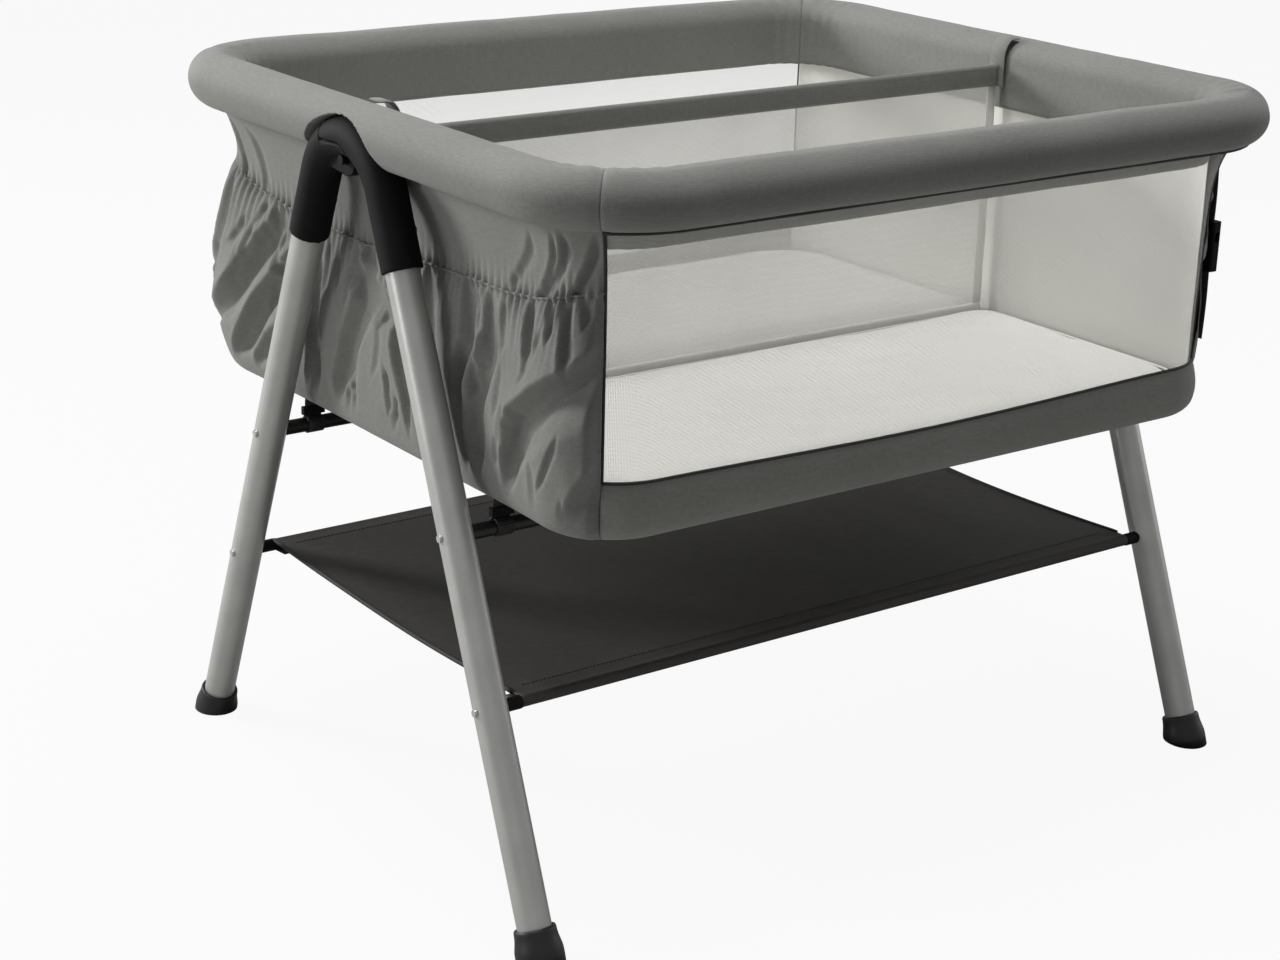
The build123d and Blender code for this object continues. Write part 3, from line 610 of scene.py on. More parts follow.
def smallFolds(seed, count):
    # short narrow folds between the large ones: they lean as the cloth is drawn towards the mouth
    pick = random.Random(seed)
    folds = []
    for _ in range(count):
        q, z, long = pick.uniform(0.03, 0.97), pick.uniform(0.47, 0.645), pick.uniform(0.035, 0.085)
        lean = np.interp(q, foldLean["share"], foldLean["slope"]) + pick.uniform(-0.25, 0.25)
        bend = pick.uniform(-0.006, 0.006)
        folds.append(([(q, z), (q + lean * long * 0.5 + bend, z - long * 0.5), (q + lean * long, z - long)],
                      pick.uniform(0.0018, 0.0042), pick.uniform(0.005, 0.009), pick.uniform(0.005, 0.009)))
    return folds


def drawnFolds(table):
    # the folds of a table, in shares and metres
    return [([(q / 1000, z / 1000) for q, z in line], depth / 1000, fall / 1000, back / 1000)
            for line, depth, fall, back in table]


def lineDistance(across, height, line):
    # distance from a line of points, the side of it, and how far along it the nearest place is
    best = np.full(across.shape, 9.0)
    side = np.zeros(across.shape)
    share = np.zeros(across.shape)
    pieces = list(zip(line, line[1:]))
    for k, ((ax, az), (bx, bz)) in enumerate(pieces):
        dx, dz = bx - ax, bz - az
        t = np.clip(((across - ax) * dx + (height - az) * dz) / (dx * dx + dz * dz), 0.0, 1.0)
        gapX, gapZ = across - ax - t * dx, height - az - t * dz
        distance = np.hypot(gapX, gapZ)
        nearer = distance < best
        best = np.where(nearer, distance, best)
        side = np.where(nearer, np.sign(gapX * dz - gapZ * dx), side)
        share = np.where(nearer, (k + t) / len(pieces), share)
    return best, side, share


def foldRelief(folds, across, height, length, jitter, spread):
    # a fold is lit on one flank and dark on the other: a crest, a steep fall, a slow way back
    relief = np.zeros(across.shape)
    for line, depth, fall, back in folds:
        moved = [((q + jitter.uniform(-spread, spread)) * length, z + jitter.uniform(-spread, spread) * 0.5)
                 for q, z in line]
        distance, side, share = lineDistance(across, height, moved)
        ahead = -side * distance
        # folds run out to points, not to round ends
        taper = smoothStep(share / 0.30) * smoothStep((1.0 - share) / 0.30)
        fade, fall, back = taper ** 0.7, fall * (0.3 + 0.7 * taper), back * (0.3 + 0.7 * taper)
        near, far = np.clip(ahead / fall, 0.0, 1.0), np.clip((ahead - fall) / back, 0.0, 1.0)
        drop = (0.35 * smoothStep(near) + 0.65 * near ** 0.85) * (1.0 - far) ** 1.4
        before = np.exp(-np.maximum(-ahead, 0.0) / (0.75 * fall))
        crest = 0.40 * before * np.clip(1.0 - ahead / (0.5 * fall), 0.0, 1.0)
        relief += depth * fade * (crest - drop)
    return relief


def gatherWave(share, length):
    # uneven small gathers along an elastic, from -1 to 1
    run = share * length
    drift = 1.1 * np.sin(run * 47.0), 0.8 * np.sin(run * 19.0 + 1.0)
    phase = run / pocket["gatherPitch"] * 2 * math.pi + drift[0] + drift[1]
    return np.sin(phase) * (0.75 + 0.25 * np.sin(run * 83.0))


def underEdge(height):
    # how far cloth draws in where it goes round the floor's lower edge
    drop = np.clip((tray["low"] + tray["round"] - height) / tray["round"], 0.0, 1.0)
    return tray["round"] * (1.0 - np.sqrt(1.0 - np.minimum(drop, 0.98) ** 2))


def makeEnd(wall):
    own = ends[wall]
    run = wallRun(wall, pocket["step"], wallCloth["trim"])
    share = frontShare(wall, run[2])
    length = run[2][-1]
    line = elasticHeight(share)[:, None]
    gathers = gatherWave(share, length)[:, None]
    jitter = random.Random(own["seed"])

    # smooth band under the rail, down behind the pocket to the floor's rim
    size = endPanel
    heights = np.concatenate([np.linspace(wallCloth["low"], size["split"][0], size["rows"][0]),
                              np.linspace(size["split"][1], wallCloth["top"], size["rows"][1])])
    height = np.repeat(heights[None, :], len(share), 0)
    across = share[:, None] * length + 0 * height
    near = np.exp(-np.abs(height - line) / size["mouthReach"])
    pulls = foldRelief(drawnFolds(bandFolds), across, height, length, jitter, size["loose"])
    edge = smoothStep((wallCloth["top"] - height) / size["topEase"])
    inset = flaredInset(height) - edge * (pulls + size["gather"] * near * gathers + size["ridge"] * near)
    inset = np.minimum(inset, wallCloth["inset"] + size["give"])
    points = clearHub(clearLegs(wallSurface(run, inset, height)))
    panel = clothPiece(wall + "EndPanel", points, greyCloth, wallCloth["thickness"])
    carry(panel, basketBody, "end_panel_" + wall)

    # white lining on the inside of the band
    size = lining
    heights = np.linspace(wallCloth["low"], size["top"], size["rows"])
    height = np.repeat(heights[None, :], len(share), 0)
    inset = size["inset"] + 0.0012 * np.sin(height * 40.0 + share[:, None] * 9.0) ** 2 * 0.3
    points = wallSurface(run, inset, height)
    pushOut(points, run, ripple(points, 0.09, 4.4) * size["ease"])
    inside = clothPiece(wall + "EndLining", points, liningCloth, size["thickness"])
    carry(inside, basketBody)

    # gathered pocket: full below, drawn in by the elastic at its mouth, sewn under the floor's edge
    size = pocket
    up = np.linspace(0.0, 1.0, size["rows"])[None, :]
    height = size["low"] + (line - size["low"]) * up
    across = share[:, None] * length + 0 * height
    front, back = smoothStep((share - 0.78) / 0.18)[:, None], smoothStep((0.30 - share) / 0.26)[:, None]
    swell = np.sin(math.pi * up ** 0.85) ** 0.6
    bulge = size["bulge"] + size["cornerBulge"] * (own["full"] * front + back) + size["backBulge"] * back
    relief = foldRelief(drawnFolds(pocketFolds), across, height, length, jitter, own["loose"])
    small = smallFolds(own["smallSeed"], size["smallFolds"])
    relief += foldRelief(small, across, height, length, jitter, 0.0)
    hold = (smoothStep((height - size["holdLow"]) / size["holdRise"])
            * (0.45 + 0.55 * smoothStep((line - height) / size["holdMouth"])))
    depth = bulge * swell + relief * hold
    depth = depth + size["gather"] * gathers * np.exp(-(line - height) / size["gatherReach"])
    sewn = smoothStep(share / size["sewnBack"]) * smoothStep((1.0 - share) / own["sewnFront"])
    depth = np.maximum(depth, -0.0004) * (0.2 + 0.8 * sewn[:, None]) + size["leastDepth"]
    inset = wallCloth["inset"] - size["behind"] - depth + underEdge(height)
    points = clearLegs(wallSurface(run, inset, height))
    points[..., 2] += (ripple(points, 0.045, 7.7) * 0.0012) * hold
    wrinkle = ripple(points * np.array([1.0, 1.0, 0.6]), size["wrinkleLength"], 2.6) * size["wrinkle"]
    pushOut(points, run, wrinkle * hold)
    bag = clothPiece(wall + "EndPocket", points, greyCloth, size["thickness"])
    carry(bag, basketBody, "end_pocket_" + wall)

    # elastic casing: a narrow ruffled ridge along the pocket's mouth
    rim = wallSurface(run, (wallCloth["inset"] - size["elasticOut"] - depth[:, -1])[:, None], line)
    rim = clearLegs(rim)[:, 0, :]
    casing = tubePiece(wall + "PocketElastic", [rim], size["elasticRadius"], greyCloth)
    carry(casing, basketBody)


for wall in ("left", "right"):
    makeEnd(wall)
print("ends made")

# net windows and lower bands on the long sides

window = dict(step=0.008, rows=44, billow=0.004, thickness=0.0007, slack=0.0022, slackLength=0.16,
              underIn=-0.0085, underZ=0.7250, aboveIn=0.0272, binding=0.0017)
band = dict(topDip=0.007, top=0.4800, low=0.4206, belly=0.0065, thickness=0.0016, rows=34, over=0.0006)


def bandTop(reach):
    # the seam between window and band hangs a little lower in the middle
    share = reach / reach[-1]
    return band["top"] - band["topDip"] * np.sin(math.pi * share) ** 2


def makeSide(wall):
    run = wallRun(wall, window["step"], wallCloth["trim"])
    top = bandTop(run[2])[:, None]
    up = np.linspace(0.0, 1.0, window["rows"])[None, :]
    height = top + (wallCloth["top"] - top) * up
    share = (run[2] / run[2][-1])[:, None]
    bow = np.sin(math.pi * up)
    inset = flaredInset(height) + window["billow"] * bow * np.sin(math.pi * share)
    points = wallSurface(run, inset, height)
    pushOut(points, run, ripple(points, window["slackLength"], 2.2) * window["slack"] * bow)
    net = clothPiece(wall + "NetWindow", points, windowNet, window["thickness"])
    carry(net, basketBody, "mesh_window_" + wall)

    # black binding round the window: under the rail, above the band, down both ends
    level = np.ones((len(run[2]), 1))
    under = wallSurface(run, level * window["underIn"], level * window["underZ"])[:, 0]
    above = wallSurface(run, level * window["aboveIn"], top)[:, 0]
    edges = [under, above, points[0], points[-1]]
    binding = tubePiece(wall + "WindowBinding", edges, window["binding"], bindingCloth)
    carry(binding, basketBody)

    # padded band that closes the side below the window
    up = np.linspace(0.0, 1.0, band["rows"])[None, :]
    height = band["low"] + (top - band["low"]) * up
    bow = np.sin(math.pi * up)
    inset = wallCloth["inset"] - band["over"] - band["belly"] * bow ** 0.7 + underEdge(height)
    points = wallSurface(run, inset, height)
    drag = (ripple(points * np.array([1.0, 1.0, 2.2]), 0.07, 6.3) * 0.0012
            + ripple(points, 0.022, 8.8) * 0.0004)
    pushOut(points, run, drag * bow)
    # the band's cloth is the grey cloth painted a shade lighter: painted light
    strip = clothPiece(wall + "LowerBand", points, paintedLightBandCloth, band["thickness"])
    carry(strip, basketBody, "lower_band_" + wall)


for wall in ("front", "back"):
    makeSide(wall)
print("long sides made")

# floor tray


def roundedOutline(inset, count):
    # points round the basket's plan, that far inside the rail's centre line
    halfX, halfY = basket["halfX"] - inset, basket["halfY"] - inset
    radius = max(basket["corner"] - inset, 0.004)
    corners = [(cx * (halfX - radius), cy * (halfY - radius), turn, radius)
               for cx, cy, turn in ((1, -1, -90), (1, 1, 0), (-1, 1, 90), (-1, -1, 180))]
    return roundedLoop(corners, 14, count)


def makeTray():
    size = tray
    rings = [(size["inset"], size["top"]), (size["inset"] - size["wallOut"], size["wallZ"]),
             (size["inset"], size["low"] + size["round"])]
    for angle in np.radians(np.linspace(10, 90, 9)):
        rings.append((size["inset"] + size["round"] * (1 - math.cos(angle)),
                      size["low"] + size["round"] * (1 - math.sin(angle))))
    edge = slice(2, len(rings))  # from the foot of the wall round to the underside
    rings += [(inset, size["low"]) for inset in size["under"]]
    points = np.array([ringAt(roundedOutline(inset, size["around"]), height) for inset, height in rings])
    points[edge, :, 2] += ripple(points[edge], 0.06, 5.1) * size["wave"]
    rows, columns = points.shape[:2]
    faces = gridFaces(rows, columns, closeColumns=True)
    faces.append(tuple(range((rows - 1) * columns, rows * columns)))
    piece = fixNormals(linkMesh("basketTray", points.reshape(-1, 3), faces, greyCloth))
    piece = thicken(piece, size["thickness"], -1.0)
    carry(piece, basketBody, "base_cover")


makeTray()
print("tray made")

# mattresses

mattress = dict(low=0.4320, gapX=0.0385, near=0.0100, outer=0.066, inner=0.024, drawIn=0.005, voxel=0.006,
                pressure=3.0, cap=0.006, swellX=0.003, swellY=0.002, pipingIn=0.0012, pipingZ=0.0222,
                piping=0.0016)
# its side from the bottom up to the middle of the top: (height, how far inside the outline)
mattressSide = ((0.0, 0.006), (0.003, 0.002), (0.008, 0.0), (0.018, 0.0), (0.0225, 0.0022), (0.0250, 0.007),
                (0.0260, 0.016), (0.0272, 0.035), (0.0286, 0.065), (0.0295, 0.100))


def mattressPlan(end, shrink, count=220):
    x = basket["halfX"] - mattress["gapX"] - shrink
    near, far = mattress["near"] + shrink, basket["halfY"] - mattress["gapX"] - shrink
    outer, inner = mattress["outer"] - shrink * 0.4, mattress["inner"]
    corners = ((x - inner, near + inner, -90, inner), (x - outer, far - outer, 0, outer),
               (outer - x, far - outer, 90, outer), (inner - x, near + inner, 180, inner))
    plan = roundedLoop(corners, 12, count)
    # the long sides draw in between the corners
    draw = mattress["drawIn"] * (1 - (plan[:, 0] / x) ** 2)
    plan[:, 1] -= np.where(plan[:, 1] > (near + far) / 2, draw, -0.4 * draw)
    plan[:, 1] *= end
    return plan


def inflate(piece, voxel, pressure, cap):
    # a short cloth run: the closed cover swells over its foam, within a set distance
    remesh = piece.modifiers.new("even cloth", "REMESH")
    remesh.mode, remesh.voxel_size = "VOXEL", voxel
    applyModifiers(piece)
    before = np.array([v.co for v in piece.data.vertices])
    cloth = piece.modifiers.new("swell", "CLOTH")
    cloth.settings.use_pressure = True
    cloth.settings.uniform_pressure_force = pressure
    cloth.settings.quality = 4
    cloth.settings.tension_stiffness = cloth.settings.compression_stiffness = 18
    cloth.settings.bending_stiffness = 0.4
    cloth.settings.effector_weights.gravity = 0.0
    cloth.collision_settings.use_collision = False
    for step in range(1, 21):
        scene.frame_set(step)
    applyModifiers(piece)
    after = np.array([v.co for v in piece.data.vertices])
    moved = after - before
    far = np.linalg.norm(moved, axis=1)
    moved *= np.minimum(1.0, cap / np.maximum(far, 1e-9))[:, None]
    piece.data.vertices.foreach_set("co", (before + moved).ravel())
    scene.frame_set(1)
    piece.data.polygons.foreach_set("use_smooth", [True] * len(piece.data.polygons))


def makeMattress(name, end):
    size = mattress
    points = np.array([ringAt(mattressPlan(end, shrink), size["low"] + level)
                       for level, shrink in mattressSide])
    rows, columns = points.shape[:2]
    faces = gridFaces(rows, columns, closeColumns=True)
    faces += [tuple(reversed(range(columns))), tuple(range((rows - 1) * columns, rows * columns))]
    piece = fixNormals(linkMesh(name, points.reshape(-1, 3), faces, jerseyCloth))
    inflate(piece, size["voxel"], size["pressure"], size["cap"])
    co = np.array([v.co for v in piece.data.vertices])
    co[:, 2] = np.maximum(co[:, 2], size["low"])
    top = smoothStep((co[:, 2] - size["low"] - 0.016) / 0.008)
    co[:, 2] += top * (ripple(co, 0.13, 1.9) * 0.0016
                       + ripple(co * np.array([1, 2.5, 1]), 0.06, 4.9) * 0.0006)
    nearSide, farSide = end * size["near"], end * (basket["halfY"] - size["gapX"])
    low, high = min(nearSide, farSide), max(nearSide, farSide)
    limit = basket["halfX"] - size["gapX"]
    co[:, 0] = np.clip(co[:, 0], -limit - size["swellX"], limit + size["swellX"])
    co[:, 1] = np.clip(co[:, 1], low - size["swellY"], high + size["swellY"])
    piece.data.vertices.foreach_set("co", co.ravel())
    subdivide(piece)
    body = name.replace("Mattress", "_mattress")
    carry(piece, body, "mattress_" + ("front" if end < 0 else "back"))
    # piped seam round the top edge
    rim = ringAt(mattressPlan(end, size["pipingIn"]), size["low"] + size["pipingZ"])
    piping = tubePiece(name + "Piping", [rim], size["piping"], jerseyCloth, closed=True)
    carry(piping, body)


makeMattress("frontMattress", -1)
makeMattress("backMattress", 1)
print("mattresses made")

# divider

divider = dict(halfX=0.4085, top=0.7517, bandLow=0.7257, bandHalf=0.0044, low=0.4322, hemTop=0.4619,
               hemHalf=0.0029, netHalf=0.0005, overlap=0.004, endHem=0.010, endOver=0.0012, endHalf=0.0014,
               endRound=0.0008)


def upright(name, half, low, high, material, crown=0.3, waves=0.0, columns=140, rows=10):
    # an upright strip with rounded long edges, standing along the basket's middle
    xs = np.linspace(-divider["halfX"], divider["halfX"], columns)
    edge = min(half, (high - low) / 2)
    zs = np.linspace(low + edge, high - edge, rows)
    bow = [half * (1 + crown * 0.2 * math.sin(math.pi * i / (rows - 1))) for i in range(rows)]

    def rounded(first, last, z):
        return [(half * math.cos(a), z + edge * math.sin(a)) for a in np.radians(np.linspace(first, last, 9))]

    section = list(zip(bow, zs)) + rounded(15, 165, high - edge)
    section += [(-y, z) for y, z in zip(bow, zs[::-1])] + rounded(195, 345, low + edge)
    points = swept(xs, section)
    if waves:
        drift = ripple(np.stack([xs, 0 * xs, 0 * xs], axis=1), 0.12, 2.5) * waves
        points[..., 1] += drift[:, None]
    return fixNormals(gridPiece(name, points, material, closeColumns=True, caps=True))


def makeDivider():
    size = divider
    net = upright("dividerNet", size["netHalf"], size["hemTop"] - size["overlap"],
                  size["bandLow"] + size["overlap"], dividerNet, waves=0.0007)
    carry(net, "divider", "divider_mesh")
    top = upright("dividerTopBand", size["bandHalf"], size["bandLow"], size["top"], greyCloth, crown=0.6,
                  waves=0.0006)
    carry(top, "divider", "divider_band")
    hem = upright("dividerHem", size["hemHalf"], size["low"], size["hemTop"], liningCloth, crown=0.5)
    carry(hem, "divider", "divider_hem")
    # bound ends of the net
    verts, faces = [], []
    half = size["endHalf"]
    zs = np.linspace(size["hemTop"], size["bandLow"], 24)
    for side in (-1, 1):
        x0, x1 = side * (size["halfX"] - size["endHem"]), side * (size["halfX"] + size["endOver"])
        turn = side * size["endRound"]
        loop = [(x0, -half), (x1, -half), (x1 + turn, 0.0), (x1, half), (x0, half), (x0 - turn, 0.0)]
        start, count = len(verts), len(loop)
        for z in zs:
            verts += [(x, y + 0.0004 * math.sin(z * 90), z) for x, y in loop]
        faces += gridFaces(len(zs), count, closeColumns=True, start=start)
        last = start + (len(zs) - 1) * count
        faces += [tuple(range(start, start + count)), tuple(reversed(range(last, last + count)))]
    bound = fixNormals(linkMesh("dividerEndHems", verts, faces, liningCloth))
    carry(bound, "divider")


makeDivider()
print("divider made")

# webbing: a flat strap swept along its middle line


def strapPiece(name, paths, width, thickness, across, material=webbing):
    verts, faces = [], []
    side = Vector(across).normalized()
    edge = thickness * 0.5
    half, flat = width / 2, width / 2 - edge
    section = [(-flat, -edge), (flat, -edge), (half, 0.0), (flat, edge), (-flat, edge), (-half, 0.0)]
    count = len(section)
    for path in paths:
        path = [Vector(p) for p in path]
        start, last = len(verts), len(verts) + (len(path) - 1) * count
        for i, here in enumerate(path):
            along = (path[min(i + 1, len(path) - 1)] - path[max(i - 1, 0)]).normalized()
            out = side.cross(along).normalized()
            verts += [here + side * a + out * b for a, b in section]
        faces += gridFaces(len(path), count, closeColumns=True, start=start)
        faces += [tuple(range(start, start + count)), tuple(reversed(range(last, last + count)))]
    return fixNormals(linkMesh(name, verts, faces, material))


def bendPoints(corners, perRun=10):
    # the strap's middle line through its corner points, bent softly at each
    corners = [Vector(c) for c in corners]
    points = []
    for i in range(len(corners) - 1):
        a, b = corners[i], corners[i + 1]
        before = corners[i - 1] if i else a - (b - a)
        after = corners[i + 2] if i + 2 < len(corners) else b + (b - a)
        for k in range(perRun):
            t = k / perRun
            points.append(0.5 * (2 * a + (b - before) * t + (2 * before - 5 * a + 4 * b - after) * t * t
                                 + (3 * a - before - 3 * b + after) * t ** 3))
    return points + [corners[-1]]


strap = dict(width=0.025, thickness=0.0015, tieWidth=0.020, tieX=0.405, barZ=0.390, barRadius=0.008,
             barY=0.349 - 0.390 * math.tan(math.radians(22)), loopGap=0.0002, tieTop=0.4196, buckleX=0.4407,
             buckleY=-0.313, tabOut=0.0014, tabEnd=(0.4325, 0.7812))
# the divider's tabs climb the rail: (how far outwards from the divider's end, height)
tabClimb = ((0.0, 0.7262), (0.0, 0.7420), (0.0008, 0.7660), (0.0075, 0.7785), (0.014, 0.7808))


def makeStraps():
    size = strap
    startX = divider["halfX"] + size["tabOut"]
    endX, endZ = size["tabEnd"]
    paths = [bendPoints([(side * (startX + out), 0, z) for out, z in tabClimb] + [(side * endX, 0, endZ)])
             for side in (-1, 1)]
    tabs = strapPiece("dividerStraps", paths, size["width"], size["thickness"], (0, 1, 0), greyCloth)
    carry(tabs, "divider", "divider_straps")
    for name, end, body in (("front", -1, basketBody), ("back", 1, legBody)):
        y = end * size["barY"]
        paths = []
        for side in (-1, 1):
            ring = size["barRadius"] + size["thickness"] / 2 + size["loopGap"]
            loop = [(side * size["tieX"], y + ring * math.sin(a), size["barZ"] - ring * math.cos(a))
                    for a in np.radians(np.linspace(-168, 168, 40))]
            paths.append(loop)
            paths.append([(side * size["tieX"], y + 0.0003 * math.sin(k), z)
                          for k, z in enumerate(np.linspace(size["barZ"] + ring * 0.98, size["tieTop"], 12))])
        ties = strapPiece(name + "FloorTies", paths, size["tieWidth"], size["thickness"], (1, 0, 0))
        carry(ties, body, "floor_ties_" + name)
    x, y = size["buckleX"], size["buckleY"]
    low, high = (corner.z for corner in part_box("anchor_strap"))
    hang = [(x + 0.0009 * math.sin((z - low) * 55), y, z) for z in np.linspace(low, high, 30)]
    anchor = strapPiece("anchorStrap", [hang], size["width"], size["thickness"], (0, 1, 0))
    carry(anchor, basketBody, "anchor_strap")
    low, high = (corner.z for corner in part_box("strap_tail"))
    drop = [(x + 0.0012 * math.sin((high - z) * 38), y, z) for z in np.linspace(low, high, 30)]
    tail = strapPiece("strapTail", [drop], size["width"], size["thickness"], (0, 1, 0))
    carry(tail, "buckle_plug", "strap_tail")


makeStraps()
print("straps made")

# shelf

shelf = dict(halfX=0.424, y=0.349 - 0.230 * math.tan(math.radians(22)), z=0.230, rod=0.0043, skin=0.0016,
             sag=0.010, rodGap=0.0003, hem=0.026, wrapSteps=18, spanSteps=64, binding=0.0026, stitchIn=0.0235)


def makeShelf():
    size = shelf
    wrap = size["rod"] + size["skin"] / 2 + size["rodGap"]
    xs = np.linspace(-size["halfX"], size["halfX"], 150)
    # round the front rod, across, round the back rod, and back under by a hem's width
    section = [(-size["y"] + size["hem"], size["z"] - wrap * 0.55)]
    section += [(-size["y"] + wrap * math.cos(a), size["z"] + wrap * math.sin(a))
                for a in np.radians(np.linspace(-75, -285, size["wrapSteps"]))]
    hemCount = len(section)
    section += [(y, size["z"] + wrap * 0.9)
                for y in np.linspace(-size["y"] + 0.006, size["y"] - 0.006, size["spanSteps"])]
    section += [(-y, z) for y, z in reversed(section[:hemCount])]
    points = swept(xs, section)
    span = np.clip(1 - (points[..., 1] / (size["y"] - 0.02)) ** 2, 0, 1)
    points[..., 2] -= size["sag"] * span * (1 - 0.35 * (points[..., 0] / size["halfX"]) ** 2)
    atEnds = np.exp(-((np.abs(points[..., 0]) - size["halfX"]) / 0.09) ** 2)
    tension = np.sin(points[..., 1] / size["y"] * math.pi) * atEnds
    points[..., 2] += span * (ripple(points * np.array([1.0, 0.35, 1.0]), 0.075, 3.3) * 0.0016
                              + 0.001 * tension)
    cloth = clothPiece("shelfCloth", points, charcoalCloth, size["skin"])
    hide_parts("shelf_fabric")
    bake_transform(cloth)
    # bound ends and a row of stitches along each hem, on the upper face
    first = hemCount + 1
    top = slice(first, hemCount + size["spanSteps"] + 1)
    rims = [[(p[0], p[1], p[2] + 0.0004) for p in rim] for rim in (points[0, top], points[-1, top])]
    binding = tubePiece("shelfBinding", rims, size["binding"], bindingCloth)
    rows = []
    for y in (-size["y"] + size["stitchIn"], size["y"] - size["stitchIn"]):
        j = int(np.argmin(np.abs(points[0, top, 1] - y))) + first
        rows.append([(p[0], p[1], p[2] + 0.0010) for p in points[3:-3, j]])
    stitches = stitchPiece("shelfStitching", rows, bindingCloth)
    for piece in (binding, stitches):
        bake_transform(piece)


makeShelf()
print("shelf made")

# rubber feet: smooth flared boots, cut flat at the floor

foot = dict(spread=0.349, x=0.458, lean=math.radians(22), bore=0.0177, boreEnd=0.0135, around=56)
# from its mouth down to the floor: (radius, height along the leg)
footProfile = ((foot["bore"], 0.0300), (foot["bore"] + 0.0016, 0.0312), (0.0206, 0.0308), (0.0213, 0.0292),
               (0.0214, 0.0268), (0.0216, 0.0235), (0.0221, 0.0200), (0.0229, 0.0162), (0.0237, 0.0126),
               (0.0243, 0.0095), (0.0245, 0.0065), (0.0245, 0.0030), (0.0243, -0.0100))


def makeFoot(name, node, side, end, body):
    size = foot
    axis = Vector((0, -end * math.sin(size["lean"]), math.cos(size["lean"])))
    across = Vector((1, 0, 0))
    other = axis.cross(across)
    base = Vector((side * size["x"], end * size["spread"], 0))
    count = size["around"]

    def ring(radius, height):
        turns = [2 * math.pi * k / count for k in range(count)]
        return [base + axis * height + (across * math.cos(t) + other * math.sin(t)) * radius for t in turns]

    verts = [p for radius, height in footProfile for p in ring(radius, height)]
    inner = len(verts)
    for i in range(inner - count, inner):
        # the skirt runs down the leg's own direction to the floor
        p = verts[i]
        verts[i] = p - axis * (p.z / axis.z)
    for i, p in enumerate(verts):
        if p.z < 0:
            verts[i] = p - axis * (p.z / axis.z)
    faces = gridFaces(len(footProfile), count, closeColumns=True)
    faces.append(tuple(range(inner - count, inner)))
    verts += ring(size["bore"], size["boreEnd"])
    faces += [(k, (k + 1) % count, inner + (k + 1) % count, inner + k) for k in range(count)]
    faces.append(tuple(inner + k for k in range(count)))
    piece = fixNormals(linkMesh(name, verts, faces, rubberBlack))
    carry(piece, body, node)


for endName, end, body in (("front", -1, basketBody), ("back", 1, legBody)):
    for sideName, side in (("left", -1), ("right", 1)):
        name, node = endName + sideName.capitalize() + "Foot", f"foot_{endName}_{sideName}"
        makeFoot(name, node, side, end, body)
print("feet made")

# moulded hubs: the CAD shape with the soft edges of a moulding, the tongue flush with the arch

hub = dict(voxel=0.0014, rounds=6, strength=0.5, lap=0.4656, flushFrom=0.700)


def softMoulding(node, name, body):
    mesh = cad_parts[node].data.copy()
    piece = bpy.data.objects.new(name, mesh)
    scene.collection.objects.link(piece)
    mesh.materials.clear()
    remesh = piece.modifiers.new("even", "REMESH")
    remesh.mode, remesh.voxel_size = "VOXEL", hub["voxel"]
    soften = piece.modifiers.new("soften", "SMOOTH")
    soften.factor, soften.iterations = hub["strength"], hub["rounds"]
    applyModifiers(piece)
    co = np.array([v.co for v in piece.data.vertices])
    away = archDistance(co[:, 1], co[:, 2])
    limit = hubArch["x"] + np.sqrt(np.maximum(hubArch["tube"] ** 2 - away ** 2, 0.0))
    limit = np.where(co[:, 2] > hub["flushFrom"], np.maximum(limit, hub["lap"]), 1.0)
    co[:, 0] = np.sign(co[:, 0]) * np.minimum(np.abs(co[:, 0]), limit)
    piece.data.vertices.foreach_set("co", co.ravel())
    piece.data.materials.append(nylonBlack)
    piece.data.polygons.foreach_set("use_smooth", [True] * len(piece.data.polygons))
    carry(piece, body, node)


for sideName in ("left", "right"):
    softMoulding("hub_hood_" + sideName, sideName + "HubHood", basketBody)
    softMoulding("hub_knuckle_" + sideName, sideName + "HubKnuckle", legBody)
print("hubs made")

# CAD nodes that keep their shape get their finish

finishes = {
    "leg_front": powderSilver, "leg_back": powderSilver, "cross_bar": powderBlack, "shelf_rod": powderBlack,
    "rod_ferrules": nylonBlack, "leg_bolts": powderSilver, "socket_screws": zincSteel,
    "rail_screws": zincSteel, "pivot_pins": nylonBlack, "rail_tube": zincSteel, "buckle": nylonBlack,
    "tie_sliders": nylonBlack, "base_board": boardWood,
}
for nodeName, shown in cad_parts.items():
    found = [material for start, material in finishes.items() if nodeName.startswith(start)]
    if found:
        shown.data.materials.clear()
        shown.data.materials.append(found[-1])
print("finishes set")

# floor, light and camera

stageSet = dict(floorSize=14.0, floorGlow=0.93, skyLight=0.15, mirrorSky=0.45)


def seenRays(tree):
    # 1 where the camera looks at the background, straight or through glass
    rays = addNode(tree, "LightPath")
    sides = {0: rays.outputs["Is Camera Ray"], 1: rays.outputs["Is Transmission Ray"]}
    return rays, addNode(tree, "Math", sides, operation="MAXIMUM")


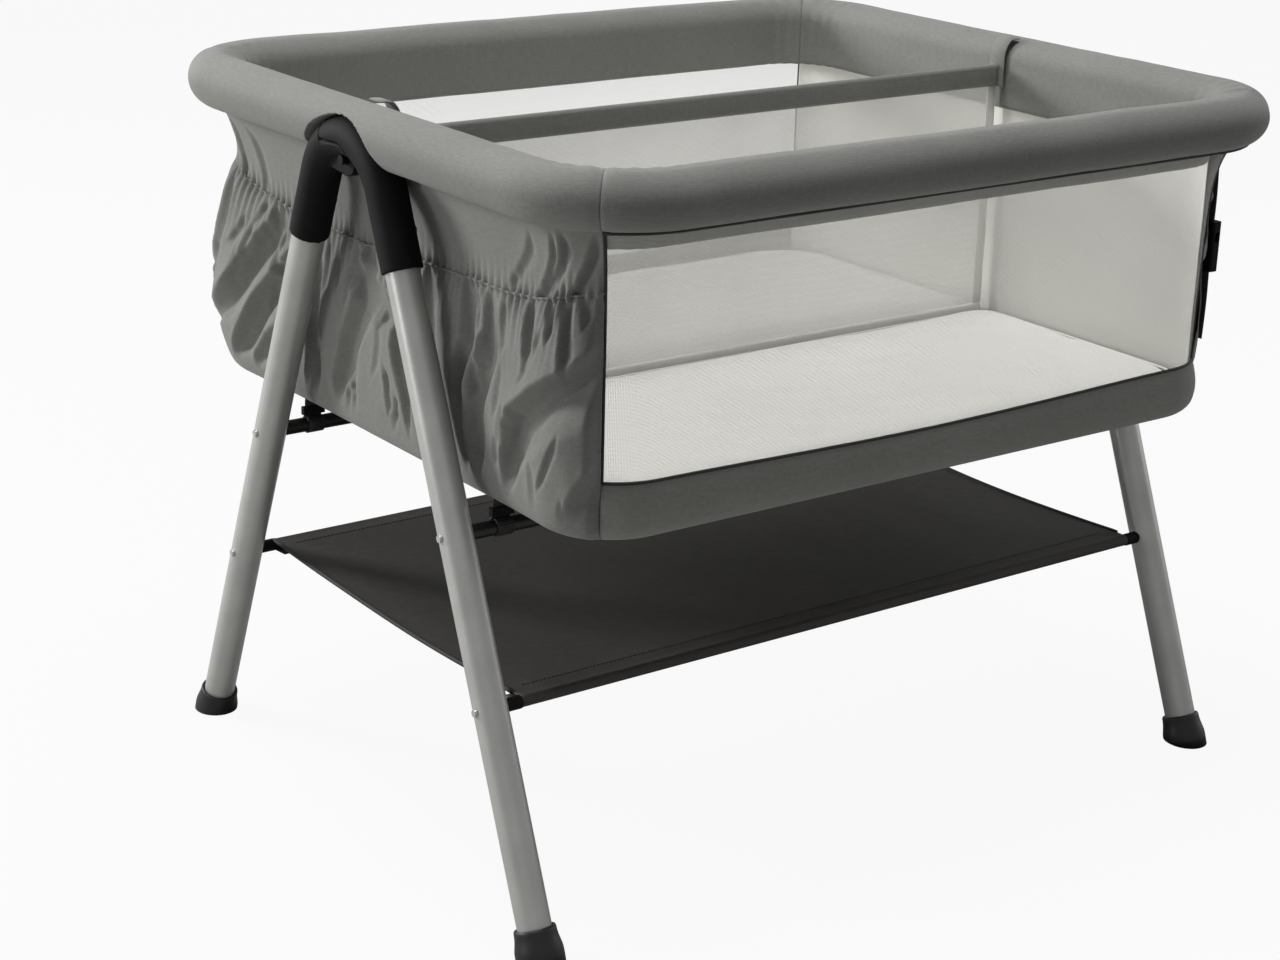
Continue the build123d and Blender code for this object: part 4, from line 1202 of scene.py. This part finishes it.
def makeStage():
    size = stageSet["floorSize"]
    floor = linkMesh("studioFloor", [(-size, -size, 0), (size, -size, 0), (size, size, 0), (-size, size, 0)],
                     [(0, 1, 2, 3)], bpy.data.materials.new("studio floor, pale"))
    material = floor.data.materials[0]
    material.use_nodes = True
    tree = material.node_tree
    shader = next(n for n in tree.nodes if n.type == "BSDF_PRINCIPLED")
    feed(shader, {"Base Color": linear("#b4b4b2"), "Roughness": 0.9})
    output = next(n for n in tree.nodes if n.type == "OUTPUT_MATERIAL")
    rays, seen = seenRays(tree)
    share = addNode(tree, "Math", {0: seen, 1: stageSet["floorGlow"]}, operation="MULTIPLY")
    white = addNode(tree, "Emission", {"Color": (1, 1, 1, 1), "Strength": 1.0})
    feed(output, {"Surface": addNode(tree, "MixShader", {0: share, 1: shader, 2: white})})

    world = bpy.data.worlds.new("studio")
    scene.world = world
    world.use_nodes = True
    tree = world.node_tree
    sky = next(n for n in tree.nodes if n.type == "BACKGROUND")
    rays, seen = seenRays(tree)
    mirrored = addNode(tree, "Math", {0: rays.outputs["Is Glossy Ray"], 1: stageSet["mirrorSky"]},
                       operation="MULTIPLY")
    shown = addNode(tree, "Math", {0: seen, 1: mirrored}, operation="MAXIMUM")
    level = addNode(tree, "MapRange", {"Value": shown, "To Min": stageSet["skyLight"], "To Max": 1.0})
    feed(sky, {"Color": (1, 1, 1, 1), "Strength": level})


lamps = {  # place, aim, size, watts
    "keySoftbox": ((-2.5, 3.0, 1.75), (0.0, 0.0, 0.55), 0.9, 115),
    "topSoftbox": ((-0.4, 0.1, 4.0), (0.0, 0.1, 0.6), 1.7, 105),
    "rightFill": ((3.4, -0.6, 1.2), (0.2, 0.0, 0.5), 2.2, 16),
    "leftFill": ((-3.3, 0.9, 0.9), (-0.4, 0.0, 0.5), 1.0, 20),
    "frontFill": ((-1.6, -3.6, 1.4), (0.0, 0.0, 0.5), 2.6, 2),
}


def makeLamps():
    for name, (place, aim, size, watts) in lamps.items():
        light = bpy.data.lights.new(name, "AREA")
        light.shape, light.size, light.energy = "SQUARE", size, watts
        lamp = bpy.data.objects.new(name, light)
        lamp.location = place
        lamp.rotation_mode = "QUATERNION"
        lamp.rotation_quaternion = (Vector(aim) - Vector(place)).to_track_quat("-Z", "Y")
        scene.collection.objects.link(lamp)


view = dict(place=(-1.6316, -2.0860, 1.2271), right=(0.81046662, -0.58522262, 0.02565808),
            up=(0.17321983, 0.28127185, 0.94386495), ahead=(0.55958801, 0.76052655, -0.32933361), lens=68.71)


def makeCamera():
    data = bpy.data.cameras.new("photoView")
    data.sensor_fit, data.sensor_width, data.lens = "HORIZONTAL", 36.0, view["lens"]
    camera = bpy.data.objects.new("photoView", data)
    turn = Matrix([view["right"], view["up"], [-a for a in view["ahead"]]]).transposed()
    camera.matrix_world = Matrix.Translation(view["place"]) @ turn.to_4x4()
    scene.collection.objects.link(camera)
    scene.camera = camera


makeStage()
makeLamps()
makeCamera()
scene.view_settings.view_transform = "Standard"
print("stage, lamps and camera set")
